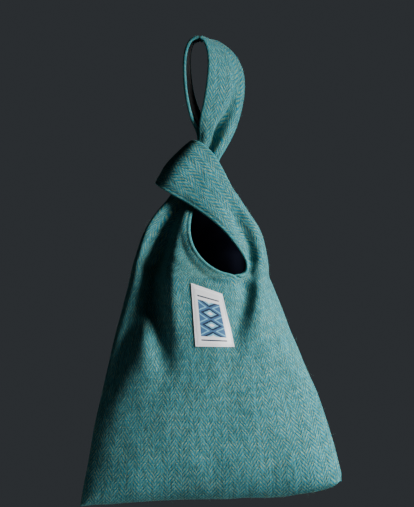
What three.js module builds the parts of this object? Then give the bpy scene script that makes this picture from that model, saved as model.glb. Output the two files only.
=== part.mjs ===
// A knot bag of herringbone wool, hanging by its long handle. Two panels, front and back, are each cut in
// one piece with a long strap on the left and a short strap on the right. The long handle comes up through
// the loop of the short one, which closes the bag. Each panel is lined, and a label is sewn to the front.
//
// Units are millimetres. X runs to the right, Y away from the viewer and Z up. The origin is the inside of
// the long handle's top, where a peg carries the bag.
import * as THREE from "three";

// Driving dimensions.
const TWEED_THICKNESS = 2.4;
const LINING_THICKNESS = 1.0;
const LAYER_GAP = 0.3;
const SEAM_GAP = 0.3;
const LINING_SET_BACK = 1.6; // how far the lining stays inside a free edge
const LINING_FADE_ROWS = 4; // mesh rows over the bottom of the mouth in which the set back begins
const STRAP_WIDTH = 72; // of a strap laid flat
const CLOTH_THICKNESS = TWEED_THICKNESS + LAYER_GAP + LINING_THICKNESS;
const LABEL_THICKNESS = 1.0;
const LABEL_GAP = 0.7;

// The bag's body from the bottom seam up to the bottom of the mouth: where its side seams lie, x and z, and
// how far each panel swells from the plane of the seams.
const BODY_ROWS = [
  { share: 0.0, left: [-139, -536], right: [167, -510], front: 26, back: 13 },
  { share: 0.2, left: [-129, -483], right: [154.5, -463], front: 31, back: 16 },
  { share: 0.4, left: [-119, -430], right: [137.5, -415], front: 34, back: 18 },
  { share: 0.6, left: [-107, -378], right: [119, -368], front: 37.5, back: 18 },
  { share: 0.8, left: [-94, -325], right: [99, -320], front: 41, back: 18 },
  { share: 1.0, left: [-81, -273], right: [80, -273], front: 43, back: 18 },
];
const BOTTOM_ROUNDING = 0.2; // share of the body's height over which the bottom rounds in to its seam
const BOTTOM_SAG = 8.5; // how far the bottom seam hangs under the line between its corners
const BOTTOM_SAG_LEAN = 2.5; // above 1, the sag is deepest towards the right
const CORNER_ROUNDING = 3.5; // how far the bottom's right corner is drawn in, and how far round it that reaches
const CORNER_REACH = 10;
const BODY_HEIGHT = 263;
const SWELL_POWER = 2.5; // 2 is an ellipse, more is fuller towards the sides

// Folds of the body, gathered by the knot. Each runs down from the mouth's level, where it lies at top and
// is depth deep, to foot, where it has run out. Places and widths are shares of the body's width.
const FRONT_FOLDS = [
  { top: 0.185, foot: 0.3, footShare: 0.4, depth: 19, topWidth: 0.075, footWidth: 0.05 },
  { top: 0.135, foot: 0.02, footShare: 0.3, depth: 16, topWidth: 0.075, footWidth: 0.06 },
  { top: 0.83, foot: 0.635, footShare: 0.48, depth: 10, topWidth: 0.05, footWidth: 0.055 },
  { top: 0.915, foot: 0.745, footShare: 0.45, depth: -6.5, topWidth: 0.06, footWidth: 0.07 },
];
const BACK_FOLDS = [
  { top: 0.3, foot: 0.24, footShare: 0.45, depth: -9, topWidth: 0.09, footWidth: 0.12 },
  { top: 0.82, foot: 0.78, footShare: 0.5, depth: -8, topWidth: 0.08, footWidth: 0.12 },
];

// The straps, row by row from the bottom of the mouth. Edge is the arm side and neck the mouth side, each x,
// y and z. Crown is how far the cloth bows out between them, shoulder the same but fullest by the edge, and
// fold how deep it creases in at foldAt, a share of the way from the edge to the neck, over foldWidth.
const FRONT_LONG_STRAP = [
  { edge: [-77, -3, -257], neck: [21.5, -40, -266], shoulder: 21, fold: 35.5, foldAt: 0.245 },
  { edge: [-72, -5, -242], neck: [4, -38.5, -252.8], shoulder: 18, fold: 32.5, foldAt: 0.315 },
  { edge: [-66, -6, -226], neck: [-8, -34.5, -235], shoulder: 14.5, fold: 27, foldAt: 0.4 },
  { edge: [-58, -6, -210], neck: [-11, -28, -214], shoulder: 10, fold: 19, foldAt: 0.44 },
  { edge: [-45, -6, -193], neck: [-7, -19, -194], shoulder: 6, fold: 12, foldAt: 0.47 },
  { edge: [-29, -7, -169], neck: [4, -13, -169], crown: 4, fold: 9, foldAt: 0.5 },
  { edge: [-14, -8, -144], neck: [16, -11, -147], crown: 3, fold: 8, foldAt: 0.5 },
  { edge: [-2, -9, -118], neck: [24, -7, -136], crown: 2, fold: 10, foldAt: 0.45, foldWidth: 5.5 },
  { edge: [-2, -20, -99], neck: [40.5, 5, -106], crown: 7, fold: 17, foldAt: 0.56, foldWidth: 6 },
  { edge: [4, -27, -73], neck: [50, 17, -73], crown: 9, fold: 11, foldAt: 0.66, foldWidth: 7 },
  { edge: [8.5, -32, -47], neck: [52, 25, -43], crown: 9, fold: 2, foldAt: 0.78, foldWidth: 9 },
  { edge: [10.5, -34, -23], neck: [44, 29, -20], crown: 7 },
  { edge: [7.5, -34, -4], neck: [23.5, 31, -1], crown: 3 },
  { edge: [0, -34, 3.7], neck: [0, 32, 3.7] },
];
const BACK_LONG_STRAP = [
  { edge: [-76, 4, -257], neck: [53, 15, -234], shoulder: 10 },
  { edge: [-70, 7, -241], neck: [47, 14, -225], shoulder: 9 },
  { edge: [-63, 9, -225], neck: [39, 14, -215], shoulder: 6 },
  { edge: [-54, 10, -208], neck: [29, 15, -204], shoulder: 4 },
  { edge: [-42, 11, -191], neck: [20, 15, -192], shoulder: 2 },
  { edge: [-28, 12, -169], neck: [14, 15, -171], crown: 1 },
  { edge: [-13, 11, -144], neck: [17, 15, -147], crown: 1 },
  { edge: [-3, 4, -117], neck: [24, 14, -134], crown: 1 },
  { edge: [-11, -18, -93], neck: [4, 17, -95], crown: 2 },
  { edge: [-17, -28, -66], neck: [-8, 20, -66], crown: 2 },
  { edge: [-19.5, -32, -39], neck: [-13, 25, -39], crown: 1 },
  { edge: [-18.5, -33, -16], neck: [-14, 29, -15] },
  { edge: [-12, -34, -1], neck: [-10, 31, -1] },
  { edge: [0, -34, 3.7], neck: [0, 32, 3.7] },
];
const FRONT_SHORT_STRAP = [
  { edge: [78, -3, -257], neck: [52.5, -38, -268], shoulder: 11, fold: 13, foldAt: 0.86, foldWidth: 9 },
  { edge: [74, -5, -239], neck: [53.5, -38, -255], shoulder: 11, fold: 12, foldAt: 0.72, foldWidth: 9 },
  { edge: [68, -6, -219], neck: [43, -35.5, -239], shoulder: 11, fold: 11, foldAt: 0.58, foldWidth: 9 },
  { edge: [55, -7, -199], neck: [27.5, -31.5, -219.5], shoulder: 9, crown: 2, fold: 9, foldAt: 0.48, foldWidth: 10 },
  { edge: [42, -9, -177], neck: [10.5, -28, -205.5], shoulder: 6, crown: 4, fold: 3, foldAt: 0.4 },
  { edge: [30, -13, -155], neck: [-7, -26, -193], crown: 6 },
  { edge: [19, -19, -134], neck: [-24, -24, -183], crown: 5 },
  { edge: [2.5, -23.5, -117.8], neck: [-43, -25, -172], crown: 5 },
  { edge: [-7, -14.5, -114.6], neck: [-50.8, -14, -166], crown: 4.5 },
  { edge: [-9, 0, -114], neck: [-52, 0, -165], crown: 4 },
];
const BACK_SHORT_STRAP = [
  { edge: [78, 4, -258], neck: [57, 19, -234], shoulder: 6 },
  { edge: [75, 7, -241], neck: [51, 20, -225], shoulder: 5 },
  { edge: [69, 11, -221], neck: [41, 21, -215], shoulder: 4 },
  { edge: [56, 14, -200], neck: [28, 22, -204], shoulder: 3 },
  { edge: [43, 17, -178], neck: [14, 22, -194], shoulder: 2 },
  { edge: [31, 19, -155], neck: [0, 22, -185], crown: 2 },
  { edge: [19, 20, -134], neck: [-18, 20, -177], crown: 3 },
  { edge: [6, 20, -119], neck: [-37, 15, -171], crown: 3 },
  { edge: [-9, 0, -114], neck: [-52, 0, -165], crown: 4 },
];
const FOLD_WIDTH = 14; // a strap fold's half width where its row gives none
const FOLD_WIDTH_SHARE = 0.25; // the most of a strap's width that a fold's half width takes up
const SHOULDER_SCALE = 2.1;
const SHOULDER_ROWS = 6; // strap rows over which the cloth turns from the body's facing to the strap's own

// How a panel's cloth is shared between its two straps: the place of the line that runs up to the bottom of
// the mouth, at the bottom seam and at the mouth, and the mouth's height over the tops of the side seams.
const FRONT_SPLIT = { bottom: 0.86, top: 0.752, mouthRise: 0 };
const BACK_SPLIT = { bottom: 0.74, top: 0.857, mouthRise: 30 };

// The label's corners on the front, x and z.
const LABEL_CORNERS = {
  topLeft: [-10.3, -278.6],
  topRight: [25.3, -291],
  bottomLeft: [-5.2, -351],
  bottomRight: [39.5, -351.6],
};

// Fineness of the meshes.
const BODY_SHARES = [
  0, 0.022, 0.06, 0.115, 0.18, 0.26, 0.34, 0.42, 0.5, 0.58, 0.66, 0.73, 0.8, 0.87, 0.935, 1,
];
const STRAP_STEPS = 2; // mesh rows for each row of a strap's table
const FRONT_COLUMNS = { left: 18, right: 8 };
const BACK_COLUMNS = { left: 12, right: 6 };
const SECTION_SAMPLES = 96;
const LABEL_CELLS = { across: 6, down: 9 };

const mix = THREE.MathUtils.lerp;
const vector = (a) => new THREE.Vector3(...a);
const bump = (distance, width) => Math.exp(-((distance / width) ** 2));
const least = (a, b) => (a && b ? (a ** -6 + b ** -6 - 1) ** (-1 / 6) : 0);
// 0 at both side seams, where it is steep, and 1 half way across.
const sideSwell = (across) => Math.sqrt(Math.max(0, 1 - Math.abs(2 * across - 1) ** SWELL_POWER));
// One half of that, from an edge at 0 to a neck at 1.
const edgeSwell = (t) => Math.sqrt(1 - (1 - t) ** SWELL_POWER);
// The same measured from the line between its ends, and scaled so that it is about 1 at its fullest.
const shoulderBow = (t) => SHOULDER_SCALE * (edgeSwell(t) - t);

// Value of a Catmull-Rom curve through b and c, with a before and d after.
function curveBetween(a, b, c, d, t) {
  const tight = (p, q, r, s) =>
    q + 0.5 * t * (r - p + t * (2 * p - 5 * q + 4 * r - s + t * (3 * (q - r) + s - p)));
  return new THREE.Vector3(tight(a.x, b.x, c.x, d.x), tight(a.y, b.y, c.y, d.y), tight(a.z, b.z, c.z, d.z));
}

// The body's row at a share of its height, on smooth curves through the rows of the table.
function bodyRow(share) {
  const last = BODY_ROWS.length - 1;
  const k = Math.min(Math.floor(share * last), last - 1);
  const row = (i) => {
    const { left, right, front, back } = BODY_ROWS[i];
    const inSeamPlane = ([x, z]) => new THREE.Vector3(x, 0, z);
    return { left: inSeamPlane(left), right: inSeamPlane(right), front, back };
  };
  const [b, c] = [row(k), row(k + 1)];
  const t = share * last - k;
  const smooth = (side) => {
    const a = k > 0 ? row(k - 1)[side] : b[side].clone().multiplyScalar(2).sub(c[side]);
    const d = k + 2 <= last ? row(k + 2)[side] : c[side].clone().multiplyScalar(2).sub(b[side]);
    return curveBetween(a, b[side], c[side], d, t);
  };
  return {
    left: smooth("left"),
    right: smooth("right"),
    front: mix(b.front, c.front, t),
    back: mix(b.back, c.back, t),
  };
}

// How far the folds push the body's cloth in, at a place across and a share of the height.
function foldDepth(folds, across, share) {
  let depth = 0;
  for (const fold of folds) {
    const up = THREE.MathUtils.clamp((share - fold.footShare) / (1 - fold.footShare), 0, 1);
    const eased = THREE.MathUtils.smoothstep(up, 0, 1);
    const width = mix(fold.footWidth, fold.topWidth, eased);
    depth += fold.depth * eased * bump(across - mix(fold.foot, fold.top, eased ** 2), width);
  }
  return depth;
}

// A point of the body's cloth. Facing is -1 for the front panel and 1 for the back.
function bodyPoint(facing, across, share) {
  const row = bodyRow(share);
  const round = Math.min(share / BOTTOM_ROUNDING, 1);
  const rounding = Math.sqrt(1 - (1 - round) ** 2);
  const swell = least(sideSwell(across), rounding);
  const sag = BOTTOM_SAG * Math.sin(Math.PI * across ** BOTTOM_SAG_LEAN) * (1 - share) ** 3;
  const split = facing < 0 ? FRONT_SPLIT : BACK_SPLIT;
  const rise = split.mouthRise * Math.min(across / split.top, (1 - across) / (1 - split.top)) * share ** 3;
  const depth = facing < 0 ? -row.front : row.back;
  const folds = facing < 0 ? FRONT_FOLDS : BACK_FOLDS;
  const push = -facing * foldDepth(folds, across, share) * Math.min(1, 2 * swell);
  const toCorner = Math.hypot((1 - across) * (row.right.x - row.left.x), share * BODY_HEIGHT);
  const corner = CORNER_ROUNDING * bump(toCorner, CORNER_REACH);
  return new THREE.Vector3(
    mix(row.left.x, row.right.x, across) - corner,
    facing * (SEAM_GAP / 2) + depth * swell + push,
    mix(row.left.z, row.right.z, across) - sag + rise + corner,
  );
}

// The same line again, as points an equal length apart.
function evenly(line, count) {
  const lengths = [0];
  line.slice(1).forEach((p, i) => lengths.push(lengths[i] + p.distanceTo(line[i])));
  const total = lengths.at(-1);
  const points = [];
  for (let i = 0, k = 0; i <= count; i++) {
    const goal = (total * i) / count;
    while (k < line.length - 2 && lengths[k + 1] < goal) k++;
    const t = (goal - lengths[k]) / (lengths[k + 1] - lengths[k]);
    points.push(line[k].clone().lerp(line[k + 1], Math.min(t, 1)));
  }
  return points;
}

const sampled = (place, count) =>
  evenly(Array.from({ length: SECTION_SAMPLES + 1 }, (_, i) => place(i / SECTION_SAMPLES)), count);

// The rows of points of one side of a panel's body: from the left seam to the line under the mouth, or from
// there to the right seam.
function bodyRows(facing, side, columns) {
  const split = facing < 0 ? FRONT_SPLIT : BACK_SPLIT;
  return BODY_SHARES.map((share) => {
    const middle = mix(split.bottom, split.top, share);
    const [from, to] = side === "left" ? [0, middle] : [middle, 1];
    return sampled((t) => bodyPoint(facing, mix(from, to, t), share), columns);
  });
}

// The rows of points of a strap. On the left they run from the edge to the neck, and on the right back.
function strapRows(facing, side, table, columns, firstRow) {
  const ends = table.map((row) => {
    const [edge, neck] = [vector(row.edge), vector(row.neck)];
    return side === "left" ? [edge, neck] : [neck, edge];
  });
  const middles = [
    firstRow[0].clone().lerp(firstRow.at(-1), 0.5),
    ...ends.map(([a, b]) => a.clone().lerp(b, 0.5)),
  ];
  return table.map(({ crown = 0, shoulder = 0, fold = 0, foldAt = 0.5, foldWidth = FOLD_WIDTH }, i) => {
    const [from, to] = ends[i];
    const path = middles[Math.min(i + 2, middles.length - 1)].clone().sub(middles[i]);
    const own = to.clone().sub(from).cross(path).normalize().multiplyScalar(-facing);
    const creaseWidth = Math.min(FOLD_WIDTH_SHARE, foldWidth / from.distanceTo(to));
    const out = new THREE.Vector3(0, facing, 0).lerp(own, Math.min(1, (i + 1) / SHOULDER_ROWS)).normalize();
    return sampled((t) => {
      const inward = side === "left" ? t : 1 - t;
      const crease = fold * bump(inward - foldAt, creaseWidth) * Math.min(1, 2 * edgeSwell(inward));
      const bow = crown * 4 * t * (1 - t) + shoulder * shoulderBow(inward) - crease;
      return from.clone().lerp(to, t).addScaledVector(out, bow);
    }, columns);
  });
}

// Rows of a body and its strap as one strip, with steps added between the strap's rows. The strap meets its
// seam square, as if it went on mirrored in the seam's plane.
function strip(body, strap, mirrored) {
  const keys = [...body, ...strap];
  const beyond = keys.at(-2).map((p) => p.clone().multiply(mirrored));
  const rows = keys.slice(0, body.length);
  for (let i = body.length - 1; i < keys.length - 1; i++) {
    const [a, b, c, d] = [keys[i - 1], keys[i], keys[i + 1], keys[i + 2] ?? beyond];
    for (let step = 1; step <= STRAP_STEPS; step++) {
      const t = step / STRAP_STEPS;
      rows.push(b.map((_, j) => curveBetween(a[j], b[j], c[j], d[j], t)));
    }
  }
  return rows;
}

// A panel's surface: its points, their outward directions, its faces, and the points' numbers by strip and
// row.
function panel(facing, longTable, shortTable, columns) {
  const bodies = {
    left: bodyRows(facing, "left", columns.left),
    right: bodyRows(facing, "right", columns.right),
  };
  const strips = {
    left: strip(
      bodies.left,
      strapRows(facing, "left", longTable, columns.left, bodies.left.at(-1)),
      new THREE.Vector3(-1, 1, 1),
    ),
    right: strip(
      bodies.right,
      strapRows(facing, "right", shortTable, columns.right, bodies.right.at(-1)),
      new THREE.Vector3(1, -1, 1),
    ),
  };
  const points = [];
  const index = { left: [], right: [] };
  for (const side of ["left", "right"])
    strips[side].forEach((row, i) => {
      index[side].push(
        row.map((p, j) => {
          const shared = side === "right" && j === 0 && i < BODY_SHARES.length;
          if (shared) return index.left[i].at(-1);
          points.push(p);
          return points.length - 1;
        }),
      );
    });
  const faces = [];
  for (const side of ["left", "right"])
    for (let i = 0; i < index[side].length - 1; i++)
      for (let j = 0; j < index[side][i].length - 1; j++) {
        const [low, high] = [index[side][i], index[side][i + 1]];
        const left = [low[j], low[j + 1], high[j + 1], high[j]];
        const [a, b, c, d] = side === "left" ? left : [...left.slice(1), left[0]];
        faces.push(facing < 0 ? [a, b, c, d] : [a, d, c, b]);
      }
  const surface = { points, faces, index, facing };
  alignSeams(surface);
  return surface;
}

// Puts a panel's seams in their planes, half the seam's gap to its own side, with outward directions that
// both panels share there. The body's seams and the short strap's end lie in y = 0, and the long strap's end
// in x = 0.
function alignSeams(surface) {
  const { points, index, facing } = surface;
  const body = BODY_SHARES.length;
  const rightSeam = index.right.slice(0, body).map((row) => row.at(-1));
  const leftSeam = index.left.slice(0, body).map((row) => row[0]);
  const bottomSeam = [...index.left[0].slice(1), ...index.right[0].slice(1)];
  const outline = [...leftSeam.reverse(), ...bottomSeam, ...rightSeam.slice(1)];
  const shortEnd = index.right.at(-1).toReversed();
  const longEnd = index.left.at(-1);
  for (const i of [...outline, ...shortEnd]) points[i].y = (facing * SEAM_GAP) / 2;
  for (const i of longEnd) points[i].x = (-facing * SEAM_GAP) / 2;
  surface.normals = outwardDirections(surface);
  for (const seam of [outline, shortEnd])
    seam.forEach((at, k) => {
      const before = points[seam[Math.max(k - 1, 0)]];
      const after = points[seam[Math.min(k + 1, seam.length - 1)]];
      const here = points[at];
      const way = after.clone().sub(here).normalize().add(here.clone().sub(before).normalize());
      surface.normals[at].set(way.z, 0, -way.x).normalize();
    });
  for (const at of longEnd) surface.normals[at].set(0, 0, 1);
}

// The mean direction of the faces round each point.
function outwardDirections({ points, faces }) {
  const normals = points.map(() => new THREE.Vector3());
  for (const [a, b, c, d] of faces) {
    const across = points[c].clone().sub(points[a]);
    const normal = across.cross(points[d].clone().sub(points[b])).normalize();
    for (const i of [a, b, c, d]) normals[i].add(normal);
  }
  return normals.map((n) => n.normalize());
}

// A panel's surface with its free edges drawn in, as the lining is cut.
function drawnIn({ points, normals, index, faces }, distance) {
  const moved = { points: points.map((p) => p.clone()), normals: normals.map((n) => n.clone()), faces };
  const top = BODY_SHARES.length - 1;
  for (const side of ["left", "right"])
    index[side].slice(top + 1).forEach((row, up) => {
      const last = row.length - 1;
      const inset = (distance * last * Math.min(1, (up + 1) / LINING_FADE_ROWS)) / STRAP_WIDTH;
      const fade = (steps) => inset * Math.exp(-steps / (2 * inset));
      row.forEach((at, j) => {
        const place = j + fade(j) - fade(last - j);
        const k = THREE.MathUtils.clamp(Math.floor(place), 0, last - 1);
        moved.points[at].lerpVectors(points[row[k]], points[row[k + 1]], place - k);
        moved.normals[at].lerpVectors(normals[row[k]], normals[row[k + 1]], place - k).normalize();
      });
    });
  return moved;
}

// A closed sheet between two depths under a surface, with a rim round its edges.
function sheet({ points, normals, faces }, outerDepth, innerDepth) {
  const count = points.length;
  const positions = [outerDepth, innerDepth].flatMap((depth) =>
    points.flatMap((p, i) => p.clone().addScaledVector(normals[i], -depth).toArray()),
  );
  const triangles = [];
  const open = new Map();
  for (const [a, b, c, d] of faces) {
    triangles.push(a, b, c, a, c, d);
    triangles.push(a + count, c + count, b + count, a + count, d + count, c + count);
    for (const [from, to] of [[a, b], [b, c], [c, d], [d, a]]) {
      if (!open.delete(to + " " + from)) open.set(from + " " + to, [from, to]);
    }
  }
  for (const [from, to] of open.values()) {
    triangles.push(to, from, from + count, to, from + count, to + count);
  }
  const geometry = new THREE.BufferGeometry();
  geometry.setAttribute("position", new THREE.Float32BufferAttribute(positions, 3));
  geometry.setIndex(triangles);
  geometry.computeVertexNormals();
  return geometry;
}

// The point and outward direction of a surface under a place in x and z, on its nearest face to the viewer.
function underPlace({ points, normals, faces }, x, z) {
  let best = null;
  for (const [a, b, c, d] of faces)
    for (const corners of [[a, b, c], [a, c, d]]) {
      const [p, q, r] = corners.map((i) => points[i]);
      const area = (q.x - p.x) * (r.z - p.z) - (r.x - p.x) * (q.z - p.z);
      const v = ((x - p.x) * (r.z - p.z) - (r.x - p.x) * (z - p.z)) / area;
      const w = ((q.x - p.x) * (z - p.z) - (x - p.x) * (q.z - p.z)) / area;
      if (v < 0 || w < 0 || v + w > 1) continue;
      const y = p.y + v * (q.y - p.y) + w * (r.y - p.y);
      if (best && best.point.y <= y) continue;
      const normal = new THREE.Vector3();
      corners.forEach((i, k) => normal.addScaledVector(normals[i], [1 - v - w, v, w][k]));
      best = { point: new THREE.Vector3(x, y, z), normal: normal.normalize() };
    }
  return best;
}

// The label, laid on the front.
function labelSheet(front) {
  const { topLeft, topRight, bottomLeft, bottomRight } = LABEL_CORNERS;
  const { across, down } = LABEL_CELLS;
  const points = [];
  const normals = [];
  const faces = [];
  for (let i = 0; i <= down; i++)
    for (let j = 0; j <= across; j++) {
      const [u, v] = [j / across, i / down];
      const place = (k) => mix(mix(bottomLeft[k], bottomRight[k], u), mix(topLeft[k], topRight[k], u), v);
      const found = underPlace(front, place(0), place(1));
      points.push(found.point);
      normals.push(found.normal);
      if (i && j) {
        const at = points.length - 1;
        const below = at - across - 1;
        faces.push([below - 1, below, at, at - 1]);
      }
    }
  return sheet({ points, normals, faces }, -LABEL_GAP - LABEL_THICKNESS, -LABEL_GAP);
}

const TWEED = { color: 0x5f9a9c, roughness: 0.95, metalness: 0 };
const LINING_COTTON = { color: 0x1c2033, roughness: 0.85, metalness: 0 };
const LABEL_CLOTH = { color: 0xe9ebec, roughness: 0.8, metalness: 0 };

const bag = new THREE.Group();
function add(name, geometry, finish) {
  const mesh = new THREE.Mesh(geometry, new THREE.MeshStandardMaterial(finish));
  mesh.name = name;
  bag.add(mesh);
}

const panels = {
  front: panel(-1, FRONT_LONG_STRAP, FRONT_SHORT_STRAP, FRONT_COLUMNS),
  back: panel(1, BACK_LONG_STRAP, BACK_SHORT_STRAP, BACK_COLUMNS),
};
for (const [name, surface] of Object.entries(panels)) {
  const liningSurface = drawnIn(surface, LINING_SET_BACK);
  add(name + "_panel", sheet(surface, 0, TWEED_THICKNESS), TWEED);
  add(name + "_lining", sheet(liningSurface, TWEED_THICKNESS + LAYER_GAP, CLOTH_THICKNESS), LINING_COTTON);
}
add("label", labelSheet(panels.front), LABEL_CLOTH);

export default bag;
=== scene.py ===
"""Looks of a knot bag of herringbone wool, hanging by its long handle.

The panels, linings, label, stitches and wool hairs are surfaces worked out on grids in the shared frame:
X to the right, Y away from the viewer, Z up, with the origin inside the long handle's top. Sizes in the
tables are millimetres, and meshes are metres.
"""
import math
from collections import namedtuple

import bpy
import numpy as np
from bpy.props import FloatProperty, FloatVectorProperty, IntProperty, PointerProperty
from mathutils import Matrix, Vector


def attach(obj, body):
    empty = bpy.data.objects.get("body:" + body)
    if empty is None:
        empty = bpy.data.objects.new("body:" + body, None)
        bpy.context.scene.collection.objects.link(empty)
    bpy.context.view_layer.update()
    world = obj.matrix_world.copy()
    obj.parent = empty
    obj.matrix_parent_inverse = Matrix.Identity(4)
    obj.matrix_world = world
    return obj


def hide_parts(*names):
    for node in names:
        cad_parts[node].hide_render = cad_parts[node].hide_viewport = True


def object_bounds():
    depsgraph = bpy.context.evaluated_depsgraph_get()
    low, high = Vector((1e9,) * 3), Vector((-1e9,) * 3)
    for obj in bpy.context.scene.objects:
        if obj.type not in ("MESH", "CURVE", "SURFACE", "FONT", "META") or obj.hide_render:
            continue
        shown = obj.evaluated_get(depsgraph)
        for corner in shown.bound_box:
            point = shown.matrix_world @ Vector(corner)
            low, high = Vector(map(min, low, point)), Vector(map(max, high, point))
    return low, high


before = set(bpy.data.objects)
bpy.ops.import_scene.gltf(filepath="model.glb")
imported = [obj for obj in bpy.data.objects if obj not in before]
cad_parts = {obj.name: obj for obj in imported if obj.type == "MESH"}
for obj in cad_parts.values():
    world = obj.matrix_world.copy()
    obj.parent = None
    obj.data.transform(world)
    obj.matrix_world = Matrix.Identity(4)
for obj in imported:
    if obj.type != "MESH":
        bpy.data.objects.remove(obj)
CAD_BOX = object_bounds()

bl_info = {
    "name": "Knot bag",
    "version": (1, 0, 0),
    "blender": (4, 5, 0),
    "location": "View3D > Sidebar > Knot bag",
    "description": "Builds the cloth, lining, label, stitches and stage of a hanging knot bag",
    "category": "Add Mesh",
}

MM = 0.001
FRONT, BACK = -1, 1  # which way a panel faces along Y

# The body from the bottom seam up to the bottom of the mouth: its side seams in x and z, and how far each
# panel swells from the plane of the seams.
BodyRow = namedtuple("BodyRow", "left right front back")
BODY_ROWS = [
    BodyRow((-139, -536), (167, -510), 26, 13),
    BodyRow((-129, -483), (154.5, -463), 31, 16),
    BodyRow((-119, -430), (137.5, -415), 34, 18),
    BodyRow((-107, -378), (119, -368), 37.5, 18),
    BodyRow((-94, -325), (99, -320), 41, 18),
    BodyRow((-81, -273), (80, -273), 43, 18),
]
BOTTOM_ROUNDING = 0.2  # share of the body's height over which the bottom rounds in to its seam
BOTTOM_SAG = 8.5
BOTTOM_SAG_LEAN = 2.5
CORNER_ROUNDING = 3.5  # how far the bottom's right corner is drawn in
CORNER_REACH = 10
SWELL_POWER = 2.5

# Folds of the body: places and widths are shares of its width, and each fold has run out at its foot.
Fold = namedtuple("Fold", "top foot foot_share depth top_width foot_width")
FOLDS = {
    FRONT: [
        Fold(0.185, 0.3, 0.4, 19, 0.075, 0.05),
        Fold(0.135, 0.02, 0.3, 16, 0.075, 0.06),
        Fold(0.83, 0.635, 0.48, 10, 0.05, 0.055),
        Fold(0.915, 0.745, 0.45, -6.5, 0.06, 0.07),
    ],
    BACK: [
        Fold(0.3, 0.24, 0.45, -9, 0.09, 0.12),
        Fold(0.82, 0.78, 0.5, -8, 0.08, 0.12),
    ],
}

# The straps, row by row from the bottom of the mouth: the arm side's edge and the mouth side's neck, and how
# the cloth bows out (crown, shoulder) or creases in (fold) between them.
FOLD_WIDTH = 14  # a strap fold's half width where its row gives none
StrapRow = namedtuple(
    "StrapRow", "edge neck crown shoulder fold fold_at fold_width", defaults=(0, 0, 0, 0.5, FOLD_WIDTH)
)
LONG_STRAPS = {
    FRONT: [
        StrapRow((-77, -3, -257), (21.5, -40, -266), shoulder=21, fold=35.5, fold_at=0.245),
        StrapRow((-72, -5, -242), (4, -38.5, -252.8), shoulder=18, fold=32.5, fold_at=0.315),
        StrapRow((-66, -6, -226), (-8, -34.5, -235), shoulder=14.5, fold=27, fold_at=0.4),
        StrapRow((-58, -6, -210), (-11, -28, -214), shoulder=10, fold=19, fold_at=0.44),
        StrapRow((-45, -6, -193), (-7, -19, -194), shoulder=6, fold=12, fold_at=0.47),
        StrapRow((-29, -7, -169), (4, -13, -169), crown=4, fold=9),
        StrapRow((-14, -8, -144), (16, -11, -147), crown=3, fold=8),
        StrapRow((-2, -9, -118), (24, -7, -136), crown=2, fold=10, fold_at=0.45, fold_width=5.5),
        StrapRow((-2, -20, -99), (40.5, 5, -106), crown=7, fold=17, fold_at=0.56, fold_width=6),
        StrapRow((4, -27, -73), (50, 17, -73), crown=9, fold=11, fold_at=0.66, fold_width=7),
        StrapRow((8.5, -32, -47), (52, 25, -43), crown=9, fold=2, fold_at=0.78, fold_width=9),
        StrapRow((10.5, -34, -23), (44, 29, -20), crown=7),
        StrapRow((7.5, -34, -4), (23.5, 31, -1), crown=3),
        StrapRow((0, -34, 3.7), (0, 32, 3.7)),
    ],
    BACK: [
        StrapRow((-76, 4, -257), (53, 15, -234), shoulder=10),
        StrapRow((-70, 7, -241), (47, 14, -225), shoulder=9),
        StrapRow((-63, 9, -225), (39, 14, -215), shoulder=6),
        StrapRow((-54, 10, -208), (29, 15, -204), shoulder=4),
        StrapRow((-42, 11, -191), (20, 15, -192), shoulder=2),
        StrapRow((-28, 12, -169), (14, 15, -171), crown=1),
        StrapRow((-13, 11, -144), (17, 15, -147), crown=1),
        StrapRow((-3, 4, -117), (24, 14, -134), crown=1),
        StrapRow((-11, -18, -93), (4, 17, -95), crown=2),
        StrapRow((-17, -28, -66), (-8, 20, -66), crown=2),
        StrapRow((-19.5, -32, -39), (-13, 25, -39), crown=1),
        StrapRow((-18.5, -33, -16), (-14, 29, -15)),
        StrapRow((-12, -34, -1), (-10, 31, -1)),
        StrapRow((0, -34, 3.7), (0, 32, 3.7)),
    ],
}
SHORT_STRAPS = {
    FRONT: [
        StrapRow((78, -3, -257), (52.5, -38, -268), shoulder=11, fold=13, fold_at=0.86, fold_width=9),
        StrapRow((74, -5, -239), (53.5, -38, -255), shoulder=11, fold=12, fold_at=0.72, fold_width=9),
        StrapRow((68, -6, -219), (43, -35.5, -239), shoulder=11, fold=11, fold_at=0.58, fold_width=9),
        StrapRow((55, -7, -199), (27.5, -31.5, -219.5), 2, shoulder=9, fold=9, fold_at=0.48, fold_width=10),
        StrapRow((42, -9, -177), (10.5, -28, -205.5), shoulder=6, crown=4, fold=3, fold_at=0.4),
        StrapRow((30, -13, -155), (-7, -26, -193), crown=6),
        StrapRow((19, -19, -134), (-24, -24, -183), crown=5),
        StrapRow((2.5, -23.5, -117.8), (-43, -25, -172), crown=5),
        StrapRow((-7, -14.5, -114.6), (-50.8, -14, -166), crown=4.5),
        StrapRow((-9, 0, -114), (-52, 0, -165), crown=4),
    ],
    BACK: [
        StrapRow((78, 4, -258), (57, 19, -234), shoulder=6),
        StrapRow((75, 7, -241), (51, 20, -225), shoulder=5),
        StrapRow((69, 11, -221), (41, 21, -215), shoulder=4),
        StrapRow((56, 14, -200), (28, 22, -204), shoulder=3),
        StrapRow((43, 17, -178), (14, 22, -194), shoulder=2),
        StrapRow((31, 19, -155), (0, 22, -185), crown=2),
        StrapRow((19, 20, -134), (-18, 20, -177), crown=3),
        StrapRow((6, 20, -119), (-37, 15, -171), crown=3),
        StrapRow((-9, 0, -114), (-52, 0, -165), crown=4),
    ],
}
FOLD_WIDTH_SHARE = 0.25  # the most of a strap's width that a fold's half width takes up
SHOULDER_SCALE = 2.1
SHOULDER_ROWS = 6  # strap rows over which the cloth turns from the body's facing to the strap's own
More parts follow.
